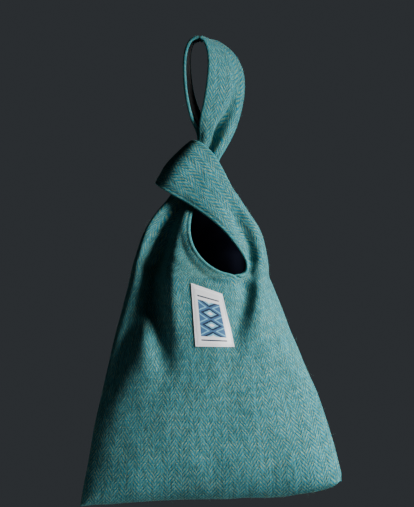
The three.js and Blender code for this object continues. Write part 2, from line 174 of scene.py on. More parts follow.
BODY_KEYS = (0.935, 1.0)  # shares of the body's last rows, from which the straps go on
LONG_MIRROR = np.array([-1, 1, 1])  # across the seam that joins the two long straps
SHORT_MIRROR = np.array([1, -1, 1])

# How a panel's cloth is shared between its straps, at the bottom seam and at the mouth.
Split = namedtuple("Split", "bottom top mouth_rise")
SPLITS = {FRONT: Split(0.86, 0.752, 0), BACK: Split(0.74, 0.857, 30)}

SECTION_SAMPLES = 161
EDGE_STEPS = np.array([0, 0.6, 1.1, 1.6, 2.1, 2.6, 3.1, 3.7, 4.5, 5.7, 7.5, 10])  # mesh columns by an edge
EDGE_SHARE = 0.2  # the most of a strap's width that those columns take up
BODY_HEIGHT = 263
SEAM_GAP = 0.1
CLOTH_WIDTH = 318  # of a panel laid flat
SCALE_ROWS = 40  # strap rows over which the stretch to that width fades out
LEVEL_REACH = 12  # how far across the cloth its rise is levelled
INSET_FADE = 14  # how far from an edge its turning in still draws the cloth
LIP_TOP, LIP_FADE = -200, 35  # where the mouth's lip begins to flare, and over what height
LIP_WIDTH = 6.5
HOLLOW_SHARE = 0.55  # the hollow beside the lip, as a share of its flare
HOLLOW_WAY, HOLLOW_WIDTH = 1.9 * LIP_WIDTH, 0.8 * LIP_WIDTH
DIMPLES = (  # x, z, width, height and rise of each small swelling or dent of the front
    (58, -268, 5, 9, -3.4),
    (47, -283, 6, 12, -1.6),
    (-31, -302, 10, 42, 3.4),
    (65, -362, 13, 32, -1.8),
)
DIMPLE_EDGE = 7  # how far from an edge they have their whole height
RIPPLE_WAVES = 9
RIPPLE_SHORT, RIPPLE_LONG = 26, 85  # lengths of the waves
RIPPLE_TURN = 0.9  # the most that they slant, in radians
RIPPLE_EDGE = 12  # how far from an edge they have their whole height
FOLD_JOIN = (58, -270)  # x and z where two folds join beside the mouth
JOIN_REACH, JOIN_BLUR = 9, 6  # how far it is eased, and over what way
JOIN_RIM, JOIN_FADE = 4, 8  # how far from the mouth's rim the easing begins, and over what way
EVEN_MOUTH, EVEN_RIM, EVEN_JOIN = 20, 3.3, 10  # how far the mesh is evened out from each of these
EVEN_ROUNDS = 40
LEAST_SHARE = 0.005  # of a move that is still worth making
MOUTH_SHARED = 12  # how far round the mouth's lowest point both strips follow its rim
ROLL_TURN, ROLL_BACK = (58, 28, 0, -30, -60, -90), (-90, -30, 30)  # degrees round an edge's roll and back
ROLL_UNDER = 2.2  # how far its cloth runs under
SEAM_TURN = 2  # over what length the seams' outward directions turn
SEAM_PINCH = 1.5  # half width of the pinch along a seam
CROTCH_REACH = 30  # how far the stitched groove fades out round the mouth's lowest point
CROTCH_BARE = 0.2  # share of that way with no groove
GROOVE_PULL, GROOVE_WIDTH = 0.25, 0.95  # how much deeper it is at a stitch's end, and its half width
BESIDE_RISE, BESIDE_WAY, BESIDE_WIDTH = 0.35, 4.5, 2.6  # the swelling beside it
ARM_GROOVE = 0.3  # share of the mouth's groove depth along the straps' other edges
LEAST_TURN = 0.3  # cosine under which a lining's face counts as turned over
HAIRY_EDGE = 5  # how far from an edge more hairs stand
EDGE_HAIRS, TIP_HAIRS = 5, 40  # how many times more stand there and at the knot's tip
EDGE_TINT_REACH = 3.2  # how far from an edge the cloth is tinted towards a lighter teal
KNOT_TIP = np.array([-52, 0, -165])  # the low corner of the short loop's end

# The label's corners in x and z, from left to right.
LABEL_CORNERS = {"bottom": ((-5.2, -351), (39.5, -351.6)), "top": ((-10.3, -278.6), (25.3, -291))}
LABEL_MIDDLE = (14, -320)
LABEL_CALM = 48  # how far round its middle the cloth has fewer ripples
LABEL_STEPS = np.array([0, 0.4, 0.9, 1.5, 2.1, 2.8, 3.8])  # mesh columns and rows by its edges
LABEL_MARGIN = 5  # where its even columns and rows begin
LABEL_UNDER = 0.2  # its underside over the panel's plain surface
LABEL_ROUND = np.array([[0, 0], [1, 0], [1, 1], [0, 1], [0, 0]])  # its corners, going round
# The label thread's colours in the painted shade between its plies and on their crests.
LABEL_THREAD = ((0.6, 0.62, 0.63, 1), (0.85, 0.86, 0.87, 1))  # its stitches' darker and lighter shade
STITCH_SHARE = 0.8  # a stitch's part of its pitch
LABEL_STITCH_INSET, LABEL_STITCH_PITCH, LABEL_STITCH_LIFT = 1.7, 2.6, 1.05

# Where the search for a place on the front's body begins: the body as a plain rectangle.
GUESS_LEFT, GUESS_WIDTH = -110, 225
GUESS_FOOT, GUESS_HEIGHT = -530, 262
GUESS_ROUNDS = 12

PIXELS = (414, 507)  # the photo's frame
ORIGIN_PIXEL = (200, 40.4)  # where the frame's origin shows in it
# The lights, in metres and degrees: what the main one points at, where each stands from its target, its disc
# and its spread.
KEY_TARGET, KEY_OFFSET = Vector((0.08, 0, -0.42)), Vector((1.0, -0.54, 0.45))
KEY_SIZE, KEY_SPREAD = 0.62, 64
BACK_OFFSET = Vector((0.5, 2.1, 0.7))
BACK_SIZE, BACK_SPREAD = 1.0, 180
PANEL_NAMES = {FRONT: "front", BACK: "back"}
FINENESS = {
    FRONT: {"rows": 66, "strap_steps": 9, "left_columns": 66, "right_columns": 24},
    BACK: {"rows": 50, "strap_steps": 7, "left_columns": 46, "right_columns": 18},
}


def mix(a, b, t):
    """Straight blend from a at 0 to b at 1."""
    return a + (b - a) * t


def bump(distance, width):
    """Gaussian: 1 at no distance and 1/e at the width."""
    return np.exp(-((distance / width) ** 2))


def smoothstep(t):
    """Cubic ease from 0 to 1, flat outside."""
    t = np.clip(t, 0, 1)
    return t * t * (3 - 2 * t)


def unit(vectors):
    """Vectors divided by their lengths."""
    return vectors / np.maximum(np.linalg.norm(vectors, axis=-1, keepdims=True), 1e-9)


def side_swell(across):
    """Steep from 0 at both side seams to 1 half way: the root of 1 less a power of the way from there."""
    return np.sqrt(np.maximum(0, 1 - np.abs(2 * across - 1) ** SWELL_POWER))


def edge_swell(t):
    """One half of the side swell, from an edge at 0 to a neck at 1."""
    return np.sqrt(1 - (1 - t) ** SWELL_POWER)


def least(a, b):
    """The smaller of two swells, with a rounded passage between them: a power mean of the inverses
    that leaves a swell as it is where the other is 1."""
    a, b = np.maximum(a, 1e-3), np.maximum(b, 1e-3)
    value = (a**-6.0 + b**-6.0 - 1) ** (-1 / 6)
    return np.where((a <= 1e-3) | (b <= 1e-3), 0, value)


def catmull_rom(keys, places):
    """Catmull-Rom curve through rows of keys, at places counted in rows from the second one."""
    k = np.clip(np.floor(places).astype(int), 0, len(keys) - 4)
    t = (places - k).reshape((-1,) + (1,) * (keys.ndim - 1))
    a, b, c, d = (keys[k + i] for i in range(4))
    return b + 0.5 * t * (c - a + t * (2 * a - 5 * b + 4 * c - d + t * (3 * (b - c) + d - a)))


def seam_line(side, share):
    """A side seam at shares of the body's height: a Catmull-Rom curve, drawn on straight past its ends."""
    rows = np.array([getattr(row, side) for row in BODY_ROWS], float)
    keys = np.vstack([2 * rows[0] - rows[1], rows, 2 * rows[-1] - rows[-2]])
    line = catmull_rom(keys, share.ravel() * (len(rows) - 1))
    return line.reshape(share.shape + (2,))


def fold_depth(facing, across, share):
    """How far the folds push the body in: Gaussian valleys that widen and deepen with eased height, and swing
    with its square."""
    depth = np.zeros(np.broadcast(across, share).shape)
    for fold in FOLDS[facing]:
        eased = smoothstep((share - fold.foot_share) / (1 - fold.foot_share))
        width = mix(fold.foot_width, fold.top_width, eased)
        depth += fold.depth * eased * bump(across - mix(fold.foot, fold.top, eased**2), width)
    return depth


def body_surface(facing, across, share):
    """Points of a panel's body: between the side seams, swollen out by depth and pushed in by the folds."""
    across, share = np.broadcast_arrays(across, share)
    left, right = seam_line("left", share), seam_line("right", share)
    depths = [row.front if facing == FRONT else row.back for row in BODY_ROWS]
    depth = np.interp(share, np.linspace(0, 1, len(depths)), depths)
    rounding = np.sqrt(1 - (1 - np.minimum(share / BOTTOM_ROUNDING, 1)) ** 2)
    swell = least(side_swell(across), rounding)
    sag = BOTTOM_SAG * np.sin(np.pi * across**BOTTOM_SAG_LEAN) * (1 - share) ** 3
    split = SPLITS[facing]
    rise = split.mouth_rise * np.minimum(across / split.top, (1 - across) / (1 - split.top)) * share**3
    push = fold_depth(facing, across, share) * np.minimum(1, 2 * swell)
    y = facing * (SEAM_GAP / 2 + depth * swell - push)
    place = mix(left, right, across[..., None])
    to_corner = np.hypot((1 - across) * (right - left)[..., 0], share * BODY_HEIGHT)
    corner = CORNER_ROUNDING * bump(to_corner, CORNER_REACH)
    return np.stack([place[..., 0] - corner, y, place[..., 1] - sag + rise + corner], axis=-1)


def evenly(lines, shares):
    """Points of each line at shares of its length: the running length of its chords, turned round."""
    chords = np.linalg.norm(np.diff(lines, axis=1), axis=2)
    lengths = np.concatenate([np.zeros((len(lines), 1)), np.cumsum(chords, axis=1)], axis=1)
    goals = shares * lengths[:, -1:]
    k = np.clip((lengths[:, :, None] <= goals[:, None, :]).sum(axis=1) - 1, 0, lines.shape[1] - 2)
    start, stop = (np.take_along_axis(lengths, k + i, axis=1) for i in (0, 1))
    before, after = (np.take_along_axis(lines, (k + i)[..., None], axis=1) for i in (0, 1))
    return mix(before, after, ((goals - start) / (stop - start))[..., None])


def body_sections(facing, side, shares):
    """The body's cross sections on one side of the line under the mouth, from left to right."""
    split = SPLITS[facing]
    middle = mix(split.bottom, split.top, shares)[:, None]
    t = np.linspace(0, 1, SECTION_SAMPLES)
    across = middle * t if side == "left" else mix(middle, 1, t)
    return body_surface(facing, across, shares[:, None])


def strap_sections(facing, side, table, first):
    """A strap's cross sections: a chord bowed out along a direction that turns from the body's facing to the
    strap's own normal, by a parabola (crown), a swell by the edge (shoulder) and a Gaussian crease (fold)."""
    edge, neck = (np.array([getattr(row, end) for row in table], float) for end in ("edge", "neck"))
    start, stop = (edge, neck) if side == "left" else (neck, edge)
    crown, shoulder, fold, fold_at, fold_width = (
        np.array([getattr(row, name) for row in table], float)[:, None]
        for name in ("crown", "shoulder", "fold", "fold_at", "fold_width")
    )
    middles = np.vstack([(first[0] + first[-1]) / 2, (start + stop) / 2])
    i = np.arange(len(table))
    path = middles[np.minimum(i + 2, len(table))] - middles[i]
    own = unit(np.cross(stop - start, path)) * -facing
    turned = np.minimum(1, (i + 1) / SHOULDER_ROWS)[:, None]
    out = unit(mix(np.array([0, facing, 0]), own, turned))
    t = np.linspace(0, 1, SECTION_SAMPLES)
    inward = t if side == "left" else 1 - t
    width = np.minimum(FOLD_WIDTH_SHARE, fold_width / np.linalg.norm(stop - start, axis=1, keepdims=True))
    crease = fold * bump(inward - fold_at, width) * np.minimum(1, 2 * edge_swell(inward))
    swell = SHOULDER_SCALE * (edge_swell(inward) - inward)
    bow = crown * 4 * t * (1 - t) + shoulder * swell - crease
    return mix(start[:, None], stop[:, None], t[:, None]) + out[:, None] * bow[..., None]


def body_shares(rows):
    """Shares of the body's height for mesh rows: close together at the turned bottom and at the mouth."""
    turn = BOTTOM_ROUNDING * (1 - np.cos(np.linspace(0, math.pi / 2, rows // 4)))
    top = 1 - EDGE_STEPS[::-1] / BODY_HEIGHT
    return np.concatenate([turn, np.linspace(turn[-1], top[0], rows)[1:-1], top])


def strip(facing, side, rows, strap_steps):
    """One strip of a panel, its body and strap, as dense cross sections from the bottom seam up. The strap
    goes on from the body on Catmull-Rom curves and meets its end seam square."""
    table = (LONG_STRAPS if side == "left" else SHORT_STRAPS)[facing]
    mirror = LONG_MIRROR if side == "left" else SHORT_MIRROR
    shares = np.linspace(0, 1, SECTION_SAMPLES)[None]
    body = evenly(body_sections(facing, side, body_shares(rows)), shares)
    last = evenly(body_sections(facing, side, np.array(BODY_KEYS)), shares)
    straps = evenly(strap_sections(facing, side, table, last[-1]), shares)
    keys = np.concatenate([last, straps, straps[-2:-1] * mirror])
    places = np.linspace(0, len(table), len(table) * strap_steps + 1)[1:]
    return np.concatenate([body, catmull_rom(keys, places)]), len(body)


def columns(sections, count):
    """The strip's mesh columns, close together by both edges, and each point's way from the left one."""
    widths = np.linalg.norm(np.diff(sections, axis=1), axis=2).sum(axis=1)[:, None]
    by_edge = EDGE_STEPS * np.minimum(1, EDGE_SHARE * widths / EDGE_STEPS[-1])
    between = np.linspace(0, 1, count + 2)[1:-1]
    middle = mix(by_edge[:, -1:], widths - by_edge[:, -1:], between)
    ways = np.concatenate([by_edge, middle, widths - by_edge[:, ::-1]], axis=1)
    return evenly(sections, ways / widths), ways, widths[:, 0]


def quads(index):
    """Faces of a grid of vertex numbers, with rows going up and columns to the right."""
    return np.stack([index[:-1, :-1], index[:-1, 1:], index[1:, 1:], index[1:, :-1]], axis=-1).reshape(-1, 4)


def face_normals(points, faces):
    """The direction square to both diagonals of each face."""
    a, b, c, d = (points[faces[:, i]] for i in range(4))
    return unit(np.cross(c - a, d - b))


def vertex_normals(points, faces):
    """The mean direction of the faces round each point."""
    directions = face_normals(points, faces)
    normals = np.zeros_like(points)
    for i in range(4):
        np.add.at(normals, faces[:, i], directions)
    return unit(normals)


def along(line):
    """Running length of a line of points."""
    return np.concatenate([[0], np.cumsum(np.linalg.norm(np.diff(line, axis=0), axis=1))])


def at_ways(values, way, places):
    """Rows of three values along a path, at places between them."""
    return np.stack([np.interp(places, way, values[:, i]) for i in range(3)], axis=1)


def smoothed(values, way, reach):
    """Values along a path, each the Gaussian mean of its neighbours within reach, unchanged at the ends."""
    weights = np.exp(-0.5 * ((way[:, None] - way[None]) / reach) ** 2) * np.gradient(way)[None]
    mean = weights @ values / weights.sum(axis=1, keepdims=True)
    ease = smoothstep(np.minimum(way, way[-1] - way) / (4 * reach))[:, None]
    return mix(values, mean, ease)


def level_rise(rise, ways):
    """Steps up the columns of each row, each the Gaussian mean of those near it across the row, so that the
    weave doesn't shear where neighbouring columns differ in length."""
    apart = (ways[:, :, None] - ways[:, None]) / LEVEL_REACH
    weights = np.exp(-(apart**2)) * np.gradient(ways, axis=1)[:, None]
    return np.einsum("rcd,rd->rc", weights, rise) / weights.sum(axis=2)


def width_scale(whole, strap_rows):
    """How much each row is stretched across to the flat width: the body wholly, and the strap's rows less and
    less as they go up."""
    eased = smoothstep(1 - np.arange(strap_rows) / SCALE_ROWS)
    return np.concatenate([CLOTH_WIDTH / whole, mix(1, CLOTH_WIDTH / whole[-1], eased)])[:, None]


def climb(low, high):
    """Running sums up the columns of two grids of steps, one on top of the other, from 0."""
    return np.vstack([low[:1] * 0, np.cumsum(np.vstack([low, high]), axis=0)])


class Panel:
    """A panel's surface on two grids that share the line under the mouth, with its cloth coordinates, free
    edges and seams. Points are numbered once, and left and right hold their numbers by row and column."""

    def __init__(self, facing, rows, strap_steps, left_columns, right_columns):
        self.facing = facing
        left, body = strip(facing, "left", rows, strap_steps)
        right, _ = strip(facing, "right", rows, strap_steps + 2)
        self.body = body
        left_points, left_ways, left_widths = columns(left, left_columns)
        right_points, right_ways, right_widths = columns(right, right_columns)
        self.left = np.arange(left_points[..., 0].size).reshape(left_points.shape[:2])
        shared = np.zeros(right_points.shape[:2], bool)
        shared[:body, 0] = True
        self.right = np.empty(shared.shape, int)
        self.right[shared] = self.left[:body, -1]
        self.right[~shared] = self.left.size + np.arange((~shared).sum())
        self.own = ~shared
        self.points = self.join(left_points, right_points)
        self.faces = np.concatenate([quads(self.left), quads(self.right)])
        self.is_left = np.arange(len(self.points)) < self.left.size
        self.measure_cloth(left_points, right_points, left_ways, right_ways, left_widths, right_widths)
        self.find_edges()
        self.align_seams()

    def join(self, left, right):
        """Values on both grids, in the order of the points' numbers."""
        return np.concatenate([left.reshape(-1, *left.shape[2:]), right[self.own]])

    def measure_cloth(self, left, right, left_ways, right_ways, left_widths, right_widths):
        """Cloth coordinates: across, measured from the outer edge of each strip, and up along its columns."""
        body = self.body
        whole = left_widths[:body] + right_widths[:body]
        u_left = left_ways * width_scale(whole, len(left) - body)
        u_right = CLOTH_WIDTH - (right_widths[:, None] - right_ways) * width_scale(whole, len(right) - body)
        rise_left, rise_right = (np.linalg.norm(np.diff(grid, axis=0), axis=2) for grid in (left, right))
        rows = body - 1
        both = np.concatenate([rise_left[:rows], rise_right[:rows, 1:]], axis=1)
        both_ways = np.concatenate(
            [left_ways[1:body], left_widths[1:body, None] + right_ways[1:body, 1:]], axis=1
        )
        both = level_rise(both, both_ways)
        joint = left.shape[1]
        v_left = climb(both[:, :joint], level_rise(rise_left[rows:], left_ways[body:]))
        v_right = climb(both[:, joint - 1 :], level_rise(rise_right[rows:], right_ways[body:]))
        self.cloth = np.stack([self.join(u_left, u_right), self.join(v_left, v_right)], axis=-1)
        self.from_edge = self.join(left_ways, right_widths[:, None] - right_ways)
        self.from_end = self.join(v_left[-1] - v_left, v_right[-1] - v_right)
        in_body = [np.indices(grid.shape[:2])[0] < body for grid in (left, right)]
        self.in_body = self.join(*in_body)

    def find_edges(self):
        """Numbers of the points along the free edges and seams, going round with the cloth on the left."""
        top = self.body - 1
        self.crotch = self.left[top, -1]
        self.free_edges = {
            "right_arm": self.right[top:, -1],
            "mouth": np.concatenate([self.right[top:, 0][::-1], self.left[top + 1 :, -1]]),
            "left_arm": self.left[top:, 0][::-1],
        }
        self.side_and_bottom = np.concatenate(
            [self.left[top:0:-1, 0], self.left[0], self.right[0, 1:], self.right[1 : top + 1, -1]]
        )
        self.short_end = self.right[-1, ::-1]
        self.long_end = self.left[-1, ::-1]

    def align_seams(self):
        """Puts the seams in their planes and gives both panels the same outward directions there."""
        flat = np.concatenate([self.side_and_bottom, self.short_end])
        self.points[flat, 1] = self.facing * SEAM_GAP / 2
        self.points[self.long_end, 0] = -self.facing * SEAM_GAP / 2
        self.refresh_normals()

    def refresh_normals(self):
        """Outward directions: the mean of the faces round each point, but in the seams' plane on a seam,
        square to its smoothed run, and straight up on the long strap's end."""
        self.normals = vertex_normals(self.points, self.faces) * -self.facing
        for seam in (self.side_and_bottom, self.short_end):
            line = self.points[seam]
            ways = unit(np.diff(line, axis=0))
            way = np.vstack([ways[:1], ways]) + np.vstack([ways, ways[-1:]])
            way = smoothed(way, along(line), SEAM_TURN)
            self.normals[seam] = unit(np.stack([way[:, 2], 0 * way[:, 1], -way[:, 0]], axis=1))
        self.normals[self.long_end] = (0, 0, 1)

    def turn_in(self, radius, smoothing):
        """Draws the free edges in by the radius of their roll, along the in-cloth direction square to the
        edge, and rounds the mouth. The move fades out into the cloth with a Gaussian of the distance."""
        self.edges = {}
        self.edge_distance = np.full(len(self.points), 1e3)
        self.edge_way = np.zeros(len(self.points))
        self.by_mouth = np.zeros(len(self.points), bool)
        move = np.zeros_like(self.points)
        targets = {}
        for name, ids in self.free_edges.items():
            line = self.points[ids]
            way = along(line)
            once = smoothed(line, way, smoothing)
            soft = 2 * once - smoothed(once, way, smoothing)
            normal = unit(smoothed(self.normals[ids], way, 3))
            tangent = unit(np.gradient(soft, axis=0))
            out = unit(np.cross(tangent, normal)) * -self.facing
            targets[name] = (ids, line, way, soft - radius * out - line)
        crotch_at = list(self.free_edges["mouth"]).index(self.crotch)
        mouth_ids, mouth_line, mouth_way, mouth_move = targets["mouth"]
        near = np.abs(mouth_way - mouth_way[crotch_at]) < MOUTH_SHARED
        place = np.arange(len(mouth_ids))
        for mine, arm, part in (
            (self.is_left, "left_arm", near | (place >= crotch_at)),
            (~self.is_left, "right_arm", near | (place <= crotch_at)),
        ):
            _, arm_line, arm_way, arm_move = targets[arm]
            line = np.vstack([arm_line, mouth_line[part]])
            shift = np.vstack([arm_move, mouth_move[part]])
            way = np.concatenate([arm_way, mouth_way[part]])
            points = self.points[mine]
            squared = (points**2).sum(1)[:, None] + (line**2).sum(1)[None] - 2 * points @ line.T
            nearest = squared.argmin(axis=1)
            distance = np.sqrt(np.maximum(squared.min(axis=1), 0))
            self.edge_distance[mine] = distance
            self.edge_way[mine] = way[nearest]
            self.by_mouth[mine] = nearest >= len(arm_line)
            move[mine] = shift[nearest] * bump(distance, INSET_FADE)[:, None]
        for ids, _, _, shift in targets.values():
            move[ids] = shift
            self.edge_distance[ids] = 0
        move[self.side_and_bottom] *= [1, 0, 1]
        move[self.short_end] *= [1, 0, 1]
        move[self.long_end] *= [0, 1, 1]
        self.points += move
        self.refresh_normals()
        self.from_rim = self.edge_distance + radius * bump(self.edge_distance, INSET_FADE)

    def under(self, depth):
        """The surface at a depth under the outer face, kept on its own side of the body's seams."""
        points = self.points - self.normals * depth
        own_side = self.facing * np.maximum(self.facing * points[:, 1], SEAM_GAP / 2)
        points[:, 1] = np.where(self.in_body, own_side, points[:, 1])
        return points

    def crotch_way(self):
        """Each point's way from the mouth's lowest point."""
        return np.linalg.norm(self.points - self.points[self.crotch], axis=1)

    def from_crotch(self):
        """Smooth rise from 0 at the mouth's lowest point to 1 further away."""
        return smoothstep(self.crotch_way() / CROTCH_REACH - CROTCH_BARE)

    def uneven(self):
        """Where the mesh is to be evened out: Gaussians of the way from the mouth's lowest point, only by the
        rim on its right, and on the front from the place beside the mouth where two folds join."""
        by_rim = np.where(self.is_left, 1, bump(self.edge_distance, EVEN_RIM))
        share = bump(self.crotch_way(), EVEN_MOUTH) * by_rim
        if self.facing == FRONT:
            from_join = np.hypot(self.points[:, 0] - FOLD_JOIN[0], self.points[:, 2] - FOLD_JOIN[1])
            share = np.maximum(share, bump(from_join, EVEN_JOIN))
        return share

    def even_out(self):
        """Evens the mesh out: in each round, points go up to half way to the mean of their neighbours, and
        not at all on an edge."""
        share = 0.5 * self.uneven()
        share[np.concatenate([*self.free_edges.values(), self.side_and_bottom])] = 0
        sides = np.concatenate([self.faces[:, [i, i - 1]] for i in range(4)])
        sides = np.concatenate([sides, sides[:, ::-1]])
        here, there = sides[share[sides[:, 0]] > LEAST_SHARE].T
        ids, place = np.unique(here, return_inverse=True)
        uses = np.bincount(place)[:, None]
        for _ in range(EVEN_ROUNDS):
            total = np.zeros((len(ids), 3))
            np.add.at(total, place, self.points[there])
            self.points[ids] += share[ids, None] * (total / uses - self.points[ids])
        self.refresh_normals()

    def ease_join(self):
        """Eases the place beside the front's mouth where two folds join: there, each point's depth goes to
        the mean of the depths round it, weighted with a Gaussian of the way over x and z."""
        if self.facing == BACK:
            return
        flat = self.points[:, [0, 2]] - np.array(FOLD_JOIN)
        way = np.linalg.norm(flat, axis=1)
        share = bump(way, JOIN_REACH) * smoothstep((self.edge_distance - JOIN_RIM) / JOIN_FADE)
        near = (way < 3 * JOIN_REACH) & (self.points[:, 1] < 0)
        place = flat[near]
        squared = (place**2).sum(1)[:, None] + (place**2).sum(1)[None] - 2 * place @ place.T
        weight = np.exp(-0.5 * np.maximum(squared, 0) / JOIN_BLUR**2) * self.areas()[near]
        depth = weight @ self.points[near, 1] / weight.sum(1)
        self.points[near, 1] = mix(self.points[near, 1], depth, share[near])
        self.refresh_normals()

    def areas(self):
        """Share of the cloth that each point stands for."""
        corners = self.points[self.faces]
        across = np.cross(corners[:, 2] - corners[:, 0], corners[:, 3] - corners[:, 1])
        size = np.repeat(np.linalg.norm(across, axis=1), 4)
        return np.bincount(self.faces.ravel(), size, len(self.points))

    def raise_relief(self, relief):
        """Moves each point along its outward direction."""
        self.points += self.normals * relief[:, None]
        self.refresh_normals()

    def edge_frames(self, name):
        """Points, outward directions, in-cloth directions and tangents along a free edge."""
        ids = self.free_edges[name]
        line = self.points[ids]
        tangent = unit(np.gradient(line, axis=0))
        normal = unit(smoothed(self.normals[ids], along(line), 2.5))
        normal = unit(normal - (normal * tangent).sum(1, keepdims=True) * tangent)
        out = np.cross(tangent, normal) * -self.facing
        return ids, line, normal, out, tangent


def ripples(panel, height):
    """Soft unevenness of the hanging cloth: a sum of slanted sine waves over its flat coordinates, with none
    under the label."""
    waves = np.random.default_rng(11 + panel.facing)
    relief = np.zeros(len(panel.points))
    for _ in range(RIPPLE_WAVES):
        length = waves.uniform(RIPPLE_SHORT, RIPPLE_LONG)
        turn = waves.uniform(-RIPPLE_TURN, RIPPLE_TURN)
        phase = waves.uniform(0, 2 * math.pi)
        slant = panel.cloth @ np.array([math.cos(turn), math.sin(turn)])
        relief += np.sin(2 * math.pi * slant / length + phase) * length / RIPPLE_LONG
    to_label = np.hypot(panel.points[:, 0] - LABEL_MIDDLE[0], panel.points[:, 2] - LABEL_MIDDLE[1])
    return height * relief * (1 - bump(to_label, LABEL_CALM)) * smoothstep(panel.edge_distance / RIPPLE_EDGE)


def dimples(panel):
    """Small swellings and dents of the hanging front: Gaussians over x and z."""
    relief = np.zeros(len(panel.points))
    if panel.facing == FRONT:
        for x, z, wide, tall, height in DIMPLES:
            relief += height * bump(panel.points[:, 0] - x, wide) * bump(panel.points[:, 2] - z, tall)
    return relief * smoothstep(panel.edge_distance / DIMPLE_EDGE)


def seam_relief(panel, depth):
    """The pinch along the side, bottom and end seams: Gaussians of the way to each seam."""
    bottom = bump(panel.cloth[:, 1], SEAM_PINCH) * panel.in_body
    side = bump(panel.from_edge, SEAM_PINCH) * panel.in_body
    end = bump(panel.from_end, SEAM_PINCH) * ~panel.in_body
    return -depth * np.maximum(np.maximum(bottom, side), end)


def stitched_edge_relief(panel, at, depth, spacing):
    """The groove that the topstitching pulls beside a rolled edge, deeper at each stitch's end, and the soft
    swelling of the cloth next to it."""
    pull = 1 + GROOVE_PULL * np.cos(2 * math.pi * panel.edge_way / spacing)
    share = np.where(panel.by_mouth, 1, ARM_GROOVE) * panel.from_crotch()
    groove = -depth * pull * bump(panel.from_rim - at, GROOVE_WIDTH)
    swelling = BESIDE_RISE * bump(panel.from_rim - at - BESIDE_WAY, BESIDE_WIDTH)
    return share * (groove + swelling)


def lip_relief(panel, height):
    """The outward flare of the mouth's lower lip and the hollow beside it: Gaussians of the way from its rim,
    fading out up the sides."""
    if panel.facing == BACK:
        return np.zeros(len(panel.points))
    low = smoothstep((LIP_TOP - panel.points[:, 2]) / LIP_FADE)
    hollow = HOLLOW_SHARE * bump(panel.from_rim - HOLLOW_WAY, HOLLOW_WIDTH)
    return height * panel.by_mouth * low * (bump(panel.from_rim, LIP_WIDTH) - hollow)


def roll_rows(line, normal, out, radius, fold_under, cloth):
    """Rows of points round a rolled edge: half a turn over its outside, a run under, and back inside it."""
    inner = radius - cloth
    centre = line - radius * normal
    turn = [(radius * math.cos(a), radius * math.sin(a)) for a in np.radians(ROLL_TURN)]
    under = [(-0.5 * fold_under, -radius), (-fold_under, -radius), (-fold_under, -inner)]
    back = [(inner * math.cos(a), inner * math.sin(a)) for a in np.radians(ROLL_BACK)]
    return [centre + across * out + up * normal for across, up in turn + under + back]


def closed_sheet(panel, thickness, radius):
    """A closed cloth from a panel: its outer face, an inner one at a depth, rows of points that roll round
    each free edge from the one to the other, and plain rims along the seams."""
    count = len(panel.points)
    points = [panel.points, panel.under(thickness)]
    cloth = [panel.cloth, panel.cloth]
    faces = [panel.faces, panel.faces[:, ::-1] + count]
    caps = []
    total = 2 * count
    for name in panel.free_edges:
        ids, line, normal, out, _ = panel.edge_frames(name)
        rows = roll_rows(line, normal, out, radius, ROLL_UNDER, thickness)
        rings = [ids] + [total + i * len(ids) + np.arange(len(ids)) for i in range(len(rows))] + [ids + count]
        total += len(rows) * len(ids)
        points += rows
        way = np.cumsum([np.linalg.norm(b - a, axis=1) for a, b in zip([line] + rows[:-1], rows)], axis=0)
        heading = cloth_heading(panel, ids, out)
        cloth += [panel.cloth[ids] + heading * w[:, None] for w in way]
        faces.append(quads(np.array(rings)[:, ::-1]))
        caps += [[ring[0] for ring in rings], [ring[-1] for ring in rings[::-1]]]
    for seam in (panel.side_and_bottom, panel.short_end, panel.long_end):
        faces.append(quads(np.array([seam + count, seam])))
    faces = np.concatenate(faces)
    if panel.facing == BACK:
        faces = faces[:, ::-1]
        caps = [cap[::-1] for cap in caps]
    return np.concatenate(points), np.concatenate(cloth), faces, caps


def inner_sheet(panel, inset, depth, thickness):
    """A closed cloth under a panel, at two depths: the panel's faces that lie further than the inset from its
    free edges and don't turn over at that depth, with a rim along every edge that has a face on one side
    only."""
    outer, inner = (face_normals(surface, panel.faces) for surface in (panel.points, panel.under(depth)))
    turned = (outer * inner).sum(axis=1)
    far = (panel.edge_distance[panel.faces] >= inset).all(axis=1)
    kept = panel.faces[far & (turned > LEAST_TURN)]
    ids, faces = np.unique(kept, return_inverse=True)
    faces = faces.reshape(-1, 4)
    edges = np.stack([faces, np.roll(faces, -1, axis=1)], axis=-1).reshape(-1, 2)
    _, first, uses = np.unique(np.sort(edges, axis=1), axis=0, return_index=True, return_counts=True)
    a, b = edges[first[uses == 1]].T
    count = len(ids)
    rim = np.stack([b, a, a + count, b + count], axis=1)
    faces = np.concatenate([faces, faces[:, ::-1] + count, rim])
    points = np.concatenate([panel.under(d)[ids] for d in (depth, depth + thickness)])
    if panel.facing == BACK:
        faces = faces[:, ::-1]
    return points, np.tile(panel.cloth[ids], (2, 1)), faces


def cloth_heading(panel, ids, out):
    """The outward in-cloth direction at edge points, in cloth coordinates: its parts along the directions in
    which the two coordinates grow, found by least squares over the faces round each point."""
    a, b, c, d = (panel.faces[:, i] for i in range(4))
    spans = panel.points[c] - panel.points[a], panel.points[d] - panel.points[b]
    turns = panel.cloth[c] - panel.cloth[a], panel.cloth[d] - panel.cloth[b]
    gram = np.zeros((len(panel.points), 2, 2))
    cross = np.zeros((len(panel.points), 2, 3))
    for corner in (a, b, c, d):
        for span, turn in zip(spans, turns):
            np.add.at(gram, corner, turn[:, :, None] * turn[:, None])
            np.add.at(cross, corner, turn[:, :, None] * span[:, None])
    growth = np.linalg.solve(gram[ids] + 1e-9 * np.eye(2), cross[ids])
    return unit(np.einsum("nij,nj->ni", growth, out))


